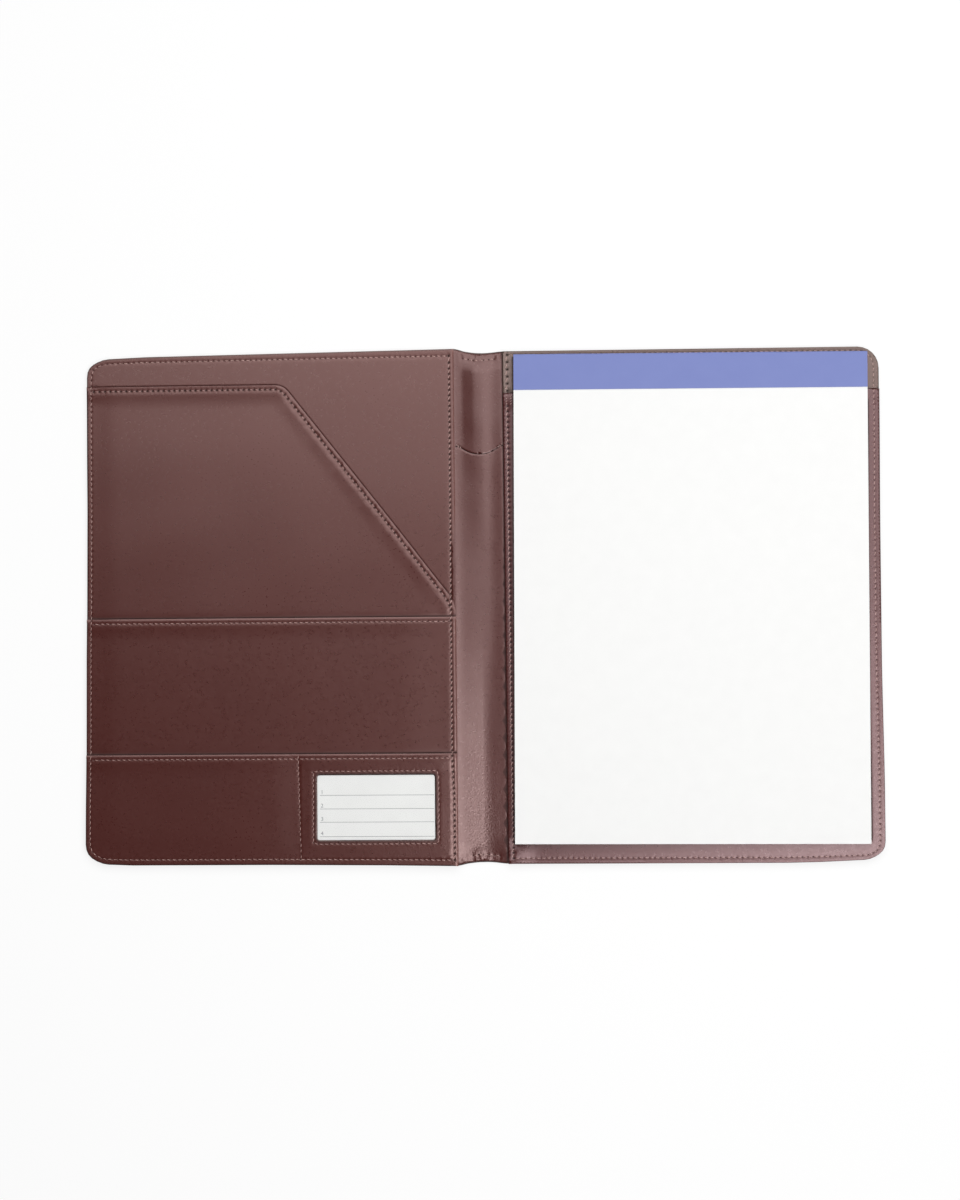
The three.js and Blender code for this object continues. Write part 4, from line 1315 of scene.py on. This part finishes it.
top_xs = np.linspace(*SPINE_TOP_SEAM)
bottom_xs = np.linspace(*SPINE_BOTTOM_SEAM)
spine_seams = [
    np.column_stack((top_xs, spine_end(top_xs, SPINE_SEAM_INSET))),
    np.column_stack((bottom_xs, -spine_end(bottom_xs, SPINE_SEAM_INSET))),
]
spine_holes = np.vstack([needle_holes(path, STITCH_PITCH, FINE_HOLE) for path in spine_seams])


def gutter_lining(name, side, bodies, replaced):
    """Half of the gutter lining, from the spine's middle to its tucked edge under one panel."""
    xs = np.linspace(0, GUTTER + LINING_TUCK, 12)
    upper_end = np.column_stack((side * xs, spine_end(xs, 0.7)))
    lower_end = upper_end[::-1] * (1, -1)
    slit = half_slit(side)
    beside_slit = np.column_stack((np.zeros(4), slit_y(0) - SLIT_GAP - np.array((1.6, 0.9, 0.45, 0.18))))
    above_slit = (2 * np.array((0, slit_y(0))) - beside_slit)[::-1]
    outline = np.vstack((upper_end, lower_end, beside_slit, slit[::-1], above_slit, upper_end[:1]))
    eyelet = len(slit) // 2
    # The slit's upper lip gets the dark edge mark: painted shade of the slit's gap
    edges = [
        (upper_end, FOLDED_EDGE_RADIUS, "plain"), (lower_end, FOLDED_EDGE_RADIUS, "plain"),
        (slit[:eyelet], UPPER_LIP_RADIUS, "edge_ink_and_shade"), (slit[eyelet - 1:], LOWER_LIP_RADIUS, "creased"),
    ]
    tack_hole = (side * (SLIT_HALF_WIDTH + 1.4), slit_y(SLIT_HALF_WIDTH), ROUND_HOLE * 0.8)
    holes = np.vstack((spine_holes[spine_holes[:, 0] * side > 0], tack_hole))
    fold = np.array([(side * (GUTTER - 0.2), BOTTOM + 1), (side * (GUTTER - 0.2), TOP - 1)])
    # On the back half the fold carries a crease painted dark: painted shade beside the panel's edge
    points, faces, marks = leather(
        outline, gutter_top, gutter_under, edges, seams=[*spine_seams, fold], holes=holes,
        creases=[(fold, *DARK_CREASE)] if side > 0 else [], spacing=1.5,
    )
    made = piece(name, points, faces, gutter_leather, bodies, replaced, marks)
    match_across_middle(made, points, gutter_top)


front_fold = bends("front_cover", "spine", (-FOLD_OUTER, 0, FOLD_LEVEL), (-FOLD_INNER, 0, FOLD_LEVEL))
back_fold = bends("back_cover", "spine", (FOLD_OUTER, 0, FOLD_LEVEL), (FOLD_INNER, 0, FOLD_LEVEL))
gutter_lining("gutter_lining_front_half", -1, front_fold, ("spine_lining",))
gutter_lining("gutter_lining_back_half", 1, back_fold, ())


# Outer leather


def cover_out(points):
    """How far the outer leather stands off the table: grooves at its seams and along both hinge lines."""
    hinges = [np.array([(x, BOTTOM), (x, TOP)]) for x in (-HINGE, HINGE)]
    grooves = COVER_SEAM_GROOVE * closeness(points, (front_seam, back_seam), 0.85)
    grooves += COVER_HINGE_GROOVE * closeness(points, hinges, 1.6)
    return grooves + np.abs(waves(points, 80, 0.04, 9))


def half_rim(outer):
    """Rim of half of the cover, from the spine's middle at the bottom round to its middle at the top."""
    xs = np.linspace(0, GUTTER, 9)
    hollow = np.column_stack((xs, -spine_end(xs)))
    corners = rounded(
        [(GUTTER, BOTTOM, 0), (outer, BOTTOM, CORNER_RADIUS), (outer, TOP, CORNER_RADIUS), (GUTTER, TOP, 0)],
        closed=False,
    )
    return np.vstack((hollow[:-1], corners, (hollow[:-1] * (1, -1))[::-1]))


def rim_section(rim):
    """Section of the cover's rim, as depths in from the rim and heights: rolled edge, turn-in and inside."""
    on_panel = eased(rim[:, 0], 14, 15.5)
    level = SPINE_TURN_IN_LEVEL + (high_level("back_cover_leather") - SPINE_TURN_IN_LEVEL) * on_panel
    width = SPINE_TURN_IN_WIDTH + (TURN_IN_WIDTH - SPINE_TURN_IN_WIDTH) * on_panel
    radius = level / 2
    under = level - TURN_IN_THICKNESS
    same = np.ones(len(rim))
    quarter = np.linspace(0, math.pi / 2, 5)
    section = [(RIM_START * same, 0 * same)]
    section += [(radius * (1 - math.sin(a)), radius * (1 - math.cos(a))) for a in quarter]
    section += [(radius * (1 - math.cos(a)), radius * (1 + math.sin(a))) for a in quarter[1:]]
    section += [(width - 0.2, level), (width, level - 0.15), (width - 0.2, under), (1.2 * same, under)]
    section += [(0.9 * same, (under + COVER_LEATHER) / 2), (1.2 * same, COVER_LEATHER * same)]
    return section + [(RIM_START * same, COVER_LEATHER * same)]


def cover_plans(loop, start, seam, holes):
    """Points over the plan of the cover's outer face, and of its plain inside."""
    hinge = np.array([(HINGE, BOTTOM), (HINGE, TOP)])
    fine = (
        (around(holes), 0.12), (beside([seam], SEAM_ROWS), 0.4), (beside([hinge], HINGE_ROWS, 4), 0.3),
        (staggered(start, GRID), GRID * 0.5),
    )
    coarse = ((beside([hinge], (0, 1, 2, 3.3), 8), 0.5), (staggered(start, 30), 4))
    return [
        spread(loop, [(within(points, [loop], [start], clear), gap) for points, gap in groups])
        for groups, clear in ((fine, 0.3), (coarse, 0.5))
    ]


def cover_half(name, side, outer, bodies, replaced):
    """Half of the outer leather: its outer face, its rolled rim turned in over the board, and its inside."""
    mirror = np.array((side, 1, 1))
    rim, inward = spaced(half_rim(outer), BORDER_STEP)
    inward[0] = (0, 1)
    inward[-1] = (0, -1)
    rows = [np.column_stack((rim + inward * depth[:, None], height)) for depth, height in rim_section(rim)]
    start = rows[0][:, :2]
    rows[0][:, 2] = cover_out(start * mirror[:2])
    loop = np.vstack((start, pitched(np.array((start[-1], start[0])), 4)[1:-1]))
    seam = back_seam if side > 0 else front_seam * (-1, 1)
    holes = needle_holes(seam, STITCH_PITCH, FINE_HOLE)
    outer_points, inner_points = cover_plans(loop, start, seam, holes)
    outer_plan, outer_triangles = triangles(outer_points, [loop])
    inner_plan, inner_triangles = triangles(inner_points, [loop])
    near, size = from_hole(outer_plan, holes)
    outer_height = cover_out(outer_plan * mirror[:2]) + HOLE_STEEPNESS * size * np.exp(-(near ** 2))
    inner_height = np.full(len(inner_plan), COVER_LEATHER)

    count = len(rim)
    points = np.vstack((
        *rows, np.column_stack((outer_plan, outer_height))[count:],
        np.column_stack((inner_plan, inner_height))[count:],
    ))
    outer_first = len(rows) * count
    inner_first = outer_first + len(outer_plan) - count
    outer_at = np.array([*range(count), *range(outer_first, inner_first)])
    inner_at = np.array([*range(outer_first - count, outer_first), *range(inner_first, len(points))])
    faces = joined_rows(rows, wrap=False) + [[*range(end, outer_first, count)] for end in (0, count - 1)]
    faces += outer_at[outer_triangles].tolist() + inner_at[inner_triangles].tolist()
    wall = [count - 1, *range(count, len(loop)), 0]
    for here, ahead in zip(wall[:-1], wall[1:]):
        faces.append([*outer_at[[here, ahead]].tolist(), *inner_at[[ahead, here]].tolist()])
    # Needle holes are painted near-black as painted shade; the rolled rim is coloured dark grey
    hole_and_crease_shade = np.zeros(len(points))
    hole_and_crease_shade[outer_first:inner_first] = np.exp(-((near[count:] / 1.4) ** 2))
    marks = {
        "edge_ink_and_shade": 0.8 * closeness(points[:, :2], [rim], 1.5),
        "hole_and_crease_shade": hole_and_crease_shade,
        "open": np.ones(len(points)),
    }
    return piece(name, points * mirror, faces, cover_leather, bodies, replaced, marks)


cover_half("cover_leather_front_half", -1, -front_cover_low[0], front_fold,
           ("front_cover_leather", "spine_leather"))
cover_half("cover_leather_back_half", 1, cover_high[0], back_fold, ("back_cover_leather",))


# Stitches


def stitching(name, body, path, surface, node=None, **extra):
    points, faces = stitch_row(path, surface, **extra)
    return piece(name, points, faces, thread_finish, body, (node,) if node else ())


zigzag = {"slant": ZIGZAG_SLANT, "thread": BOLD_THREAD}
tack = {"rise": TACK_RISE, **zigzag}
strip_aside = (-STRIP_THREAD_ASIDE, 0)

stitching("front_edge_stitches", "front_cover", front_outer_seam, front_surface, "front_edge_thread")
stitching("front_inner_stitches", "front_cover", front_inner_seam, front_surface, **zigzag)
stitching("back_edge_stitches", "back_cover", back_outer_seam, back_surface, "back_edge_thread")
stitching("strip_stitches", "back_cover", strip_seam_below + strip_aside, back_surface, "pad_pocket_thread",
          **zigzag)
stitching("strip_upper_stitches", "back_cover", strip_seam_above + strip_aside, back_surface,
          pitch=LONG_STITCH_PITCH, **zigzag)
for number, row in enumerate(tack_rows, 1):
    stitching(f"pad_pocket_tack_{number}", "back_cover", row, back_surface, pitch=TACK_PITCH, **tack)
stitching("document_hem_stitches", "front_cover", document_seam, document_top, "document_pocket_thread",
          rise=SUNK_STITCH_RISE)
stitching("middle_hem_stitches", "front_cover", middle_seam, middle_top, "middle_pocket_thread")
stitching("lower_hem_stitches", "front_cover", lower_seam, lower_top, "lower_pocket_thread")
stitching("divider_stitches", "front_cover", divider_seam, lower_top, "divider_thread")
stitching("window_stitches", "front_cover", window_seam, lower_top, "window_thread")
stitching("spine_top_stitches", "spine", spine_seams[0], gutter_top, "spine_top_thread")
for name, side, fold in (("slit_tack_front", -1, front_fold), ("slit_tack_back", 1, back_fold)):
    tack_xs = side * (SLIT_HALF_WIDTH + np.array((-SLIT_TACK / 2, SLIT_TACK / 2)))
    row = np.column_stack((tack_xs, slit_y(tack_xs)))
    stitching(name, fold, row, gutter_top, pitch=SLIT_TACK / 2, **tack)
stitching("spine_bottom_stitches", "spine", spine_seams[1], gutter_top, "spine_bottom_thread")
stitching("front_outer_stitches", "front_cover", front_seam, cover_out, facing=-1, rise=0.02)
stitching("back_outer_stitches", "back_cover", back_seam, cover_out, facing=-1, rise=0.02)


# Card and its window

card_high = room("id_card")[1]


def flat_sheet(name, node, outline, finish, body, spacing, thickness=None, unevenness=0.0, seed=0):
    """Flat sheet of paper, card or film in a node's place, with softened edges and a slight wave."""
    low, high = low_level(node), high_level(node)
    if thickness:
        high = low + thickness

    def above(plan):
        return high + waves(plan, 120, unevenness, seed)

    def below(plan):
        return low + waves(plan, 120, unevenness, seed)

    edges = [(outline, (high - low) / 2, "plain")]
    points, faces, marks = leather(outline, above, below, edges, spacing=spacing)
    return piece(name, points, faces, finish, body, (node,), marks)


def node_outline(node, radius):
    low, high = room(node)
    return box_path(low, high, radius)


flat_sheet("id_card_stock", "id_card", node_outline("id_card", 2.5), card_stock, "id_card", 12)
flat_sheet("window_film_sheet", "window_film", node_outline("window_film", 2), film_finish,
           "front_cover", 8, unevenness=0.02, seed=11)

window_low, window_high = window_edge.min(0), window_edge.max(0)


def card_print():
    """Ruled lines of the card, each with a plain number at its start."""
    left, right = window_low[0] + 1.5, window_high[0] - 0.6
    rule = [[4, 5, 6, 7], [3, 2, 1, 0], *joined_rows(np.zeros((2, 4)))]
    points = []
    faces = []
    for drop in RULE_DROPS:
        y = card_high[1] - drop
        faces += shifted(rule, len(points))
        for level in (card_high[2] - 0.01, card_high[2] + PRINT_HEIGHT):
            for x, side in ((left, -1), (right, -1), (right, 1), (left, 1)):
                points.append((x, y + side * RULE_WIDTH / 2, level))
    piece("id_card_rules", np.array(points), faces, ink_finish, "id_card")
    for number, drop in enumerate(RULE_DROPS, 1):
        text = bpy.data.curves.new(f"id_card_number_{number}", "FONT")
        text.body = str(number)
        text.size = NUMBER_SIZE * MM
        text.extrude = PRINT_HEIGHT / 2 * MM
        text.materials.append(ink_finish)
        written = bpy.data.objects.new(f"id_card_number_{number}", text)
        bpy.context.scene.collection.objects.link(written)
        place = (window_low[0] + 2, card_high[1] - drop + 0.9, card_high[2] + 0.01)
        written.location = [value * MM for value in place]
        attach(written, "id_card")


card_print()


# Writing pad

top_sheet_low, top_sheet_high = room("top_sheet")
band_low, band_high = room("pad_binding_band")
pocket_over = PAD_CARD_OVER + HEM_THICKNESS + 0.12


def pad_bottom(y):
    """Underside of the stack: on the card back at the binding, and over the pocket's leather below it."""
    return pad_low[2] + (pocket_over - pad_low[2]) * eased(y, 137, 131)


def sheet_stack():
    """Stack of separate writing sheets, each shifted a little, as a bound pad's edges show."""
    stations = np.concatenate(([pad_low[1]], np.linspace(129, 139, 9), [pad_high[1] - 0.2]))
    count = 4 * len(stations)
    sheet_faces = joined_rows(np.zeros((len(stations), 4)))
    sheet_faces += [[0, 1, 2, 3], [count - 1, count - 2, count - 3, count - 4]]
    stack_top = top_sheet_low[2] - 0.04
    points = []
    faces = []
    for sheet in range(SHEET_COUNT):
        shift_x, shift_y = dice.uniform(-SHEET_SHUFFLE, SHEET_SHUFFLE, 2)
        left = pad_low[0] + SHEET_SHUFFLE + shift_x
        right = pad_high[0] - SHEET_SHUFFLE + shift_x
        faces += shifted(sheet_faces, len(points))
        for y in stations:
            base = pad_bottom(y)
            step = (stack_top - base) / SHEET_COUNT
            low = base + sheet * step
            high = low + 0.86 * step
            at = y + (shift_y + SHEET_SHUFFLE if y == pad_low[1] else 0)
            points += [(left, at, low), (right, at, low), (right, at, high), (left, at, high)]
    return piece("pad_sheet_stack", np.array(points), faces, writing_paper, "writing_pad",
                 ("pad_sheets",), crease=30)


def top_sheet():
    """Top sheet: lies flat, lifts a hair at its free corners, and runs under the band to its crease."""
    rows_y = np.concatenate((np.linspace(top_sheet_low[1], 126, 40), np.linspace(127.5, 133.5, 25)))
    columns = np.linspace(top_sheet_low[0], top_sheet_high[0], 30)
    grid_x, grid_y = np.meshgrid(columns, rows_y)
    plan = np.column_stack((grid_x.ravel(), grid_y.ravel()))
    free = eased(plan[:, 1], top_sheet_low[1] + 60, top_sheet_low[1])
    sideways = np.abs(plan[:, 0] - columns.mean()) / np.ptp(columns) * 2
    lift = 0.5 * free ** 2 * sideways ** 3 + waves(plan, 110, 0.03, 12) * free
    under = np.column_stack((plan, top_sheet_low[2] + 0.02 + np.maximum(lift, 0)))
    count = len(columns)
    total = len(under)
    sheet = joined_rows(np.zeros((len(rows_y), count)), wrap=False)
    faces = sheet + shifted([face[::-1] for face in sheet], total)
    border = [*range(count), *range(2 * count - 1, total, count)]
    border += [*range(total - 2, total - count - 1, -1), *range(total - 2 * count, 0, -count)]
    for here, ahead in zip(border, border[1:] + border[:1]):
        faces.append([here, ahead, ahead + total, here + total])
    crease_y = band_low[1] - 0.3
    turning = bends(
        "writing_pad", "top_sheet", (0, crease_y + CREASE_REACH, 11), (0, crease_y - CREASE_REACH, 11)
    )
    points = np.vstack((under + (0, 0, SHEET_PAPER), under))
    return piece("top_sheet_paper", points, faces, writing_paper, turning, ("top_sheet",),
                 crease=30)


def binding_band():
    """Band of dyed paper glued over the pad's top edge, from its back to its front."""
    front = band_high[2]
    back = band_low[2]
    end = band_high[1]
    corner = BAND_CORNER
    quarter = np.linspace(0, math.pi / 2, 7)
    outer = [(band_low[1], front), (band_low[1] + 4, front), (end - 10, front)]
    outer += [(end - corner + corner * math.sin(a), front - corner + corner * math.cos(a)) for a in quarter]
    outer += [(end - corner + corner * math.cos(a), back + corner - corner * math.sin(a)) for a in quarter]
    outer += [(end - 10, back), (end - 17, back)]
    runs = np.gradient(np.array(outer), axis=0)
    aside = np.column_stack((runs[:, 1], -runs[:, 0])) / np.hypot(*runs.T)[:, None]
    section = np.vstack((outer, (outer + aside * BAND_PAPER)[::-1]))
    rows = []
    for x in np.linspace(band_low[0], band_high[0], 60):
        ripple = 0.05 * math.sin(x / 9) + 0.04 * math.sin(x / 3.7 + 1)
        sway = np.clip((section[:, 0] - end + 12) / 12, 0, 1)[:, None] * (-abs(ripple), 0)
        rows.append(np.column_stack((np.full(len(section), x), section + sway)))
    faces = joined_rows(rows)
    count = len(section)
    for first in (0, (len(rows) - 1) * count):
        for i in range(count // 2 - 1):
            faces.append([first + i, first + i + 1, first + count - 2 - i, first + count - 1 - i])
    return piece("pad_binding_paper", np.vstack(rows), faces, band_paper, "writing_pad",
                 ("pad_binding_band",), crease=40)


sheet_stack()
top_sheet()
binding_band()
flat_sheet("pad_backing_card", "pad_backing", node_outline("pad_backing", 0.8), greyboard,
           "writing_pad", 25, thickness=BACKING_CARD)

for node, body, inner, outer in (
    ("front_board", "front_cover", -GUTTER - 0.3, room("front_board")[0][0] + BOARD_INSET),
    ("back_board", "back_cover", GUTTER + 1.3, room("back_board")[1][0] - BOARD_INSET),
):
    board_low, board_high = room(node)
    outline = panel(
        inner, outer, board_high[1] - BOARD_INSET, board_low[1] + BOARD_INSET, CORNER_RADIUS - 2
    )
    flat_sheet(node + "_card", node, outline, greyboard, body, 30)
for node in ("binding_staple_left", "binding_staple_right"):
    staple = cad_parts[node].data
    staple.materials.clear()
    staple.materials.append(wire_finish)


# Studio


def floor():
    """Wide sheet of white studio paper under the object."""
    mesh = bpy.data.meshes.new("studio_floor")
    reach = 12
    mesh.from_pydata(
        [(-reach, -reach, 0), (reach, -reach, 0), (reach, reach, 0), (-reach, reach, 0)], [], [[0, 1, 2, 3]]
    )
    mesh.materials.append(studio_paper("Seamless studio paper"))
    made = bpy.data.objects.new("studio_floor", mesh)
    made.location.z = -0.05 * MM
    bpy.context.scene.collection.objects.link(made)


def softbox(name, place, aim, size, power):
    """Rectangular softbox that hangs at a place and points at a spot."""
    lamp = bpy.data.lights.new(name, "AREA")
    lamp.shape = "RECTANGLE"
    lamp.size, lamp.size_y = size
    lamp.energy = power
    made = bpy.data.objects.new(name, lamp)
    made.location = place
    made.rotation_euler = (Vector(aim) - Vector(place)).to_track_quat("-Z", "Y").to_euler()
    bpy.context.scene.collection.objects.link(made)


def studio_walls():
    """World of pale walls under a dim ceiling: lit to the horizon, darker overhead."""
    world = bpy.data.worlds.new("studio")
    bpy.context.scene.world = world
    world.use_nodes = True
    tree = world.node_tree
    tree.nodes.clear()
    heading = add(tree, "ShaderNodeTexCoord").outputs["Generated"]
    up = add(tree, "ShaderNodeSeparateXYZ", {0: heading}).outputs["Z"]
    level = add(tree, "ShaderNodeMapRange", {0: up, 1: 0.05, 2: 0.25, 3: 0.5, 4: 0.12})
    walls = add(tree, "ShaderNodeBackground", {"Color": linear("#ffffff"), "Strength": level})
    add(tree, "ShaderNodeOutputWorld", {"Surface": walls})


floor()
studio_walls()
softbox("softbox_right", (0.45, -0.38, 1.4), (0.1, 0, 0), (0.66, 0.66), 10.4)
softbox("softbox_top", (0.15, 0.64, 1.3), (0.08, 0, 0), (1.56, 1.0), 15.4)

# The photograph's view: almost straight down, from a little right of the middle and below it
CAMERA_PLACE = (0.100, -0.073, 1.835)
CAMERA_TILT = (2.41, 3.15, -0.51)
FOCAL_PIXELS = 3000
PICTURE_WIDTH = 960

lens = bpy.data.cameras.new("camera")
lens.sensor_fit = "HORIZONTAL"
lens.sensor_width = 36
lens.lens = lens.sensor_width * FOCAL_PIXELS / PICTURE_WIDTH
camera = bpy.data.objects.new("camera", lens)
camera.location = CAMERA_PLACE
camera.rotation_mode = "ZYX"
camera.rotation_euler = [math.radians(angle) for angle in CAMERA_TILT]
bpy.context.scene.collection.objects.link(camera)
bpy.context.scene.camera = camera
bpy.context.scene.view_settings.view_transform = "Standard"

bpy.context.view_layer.update()
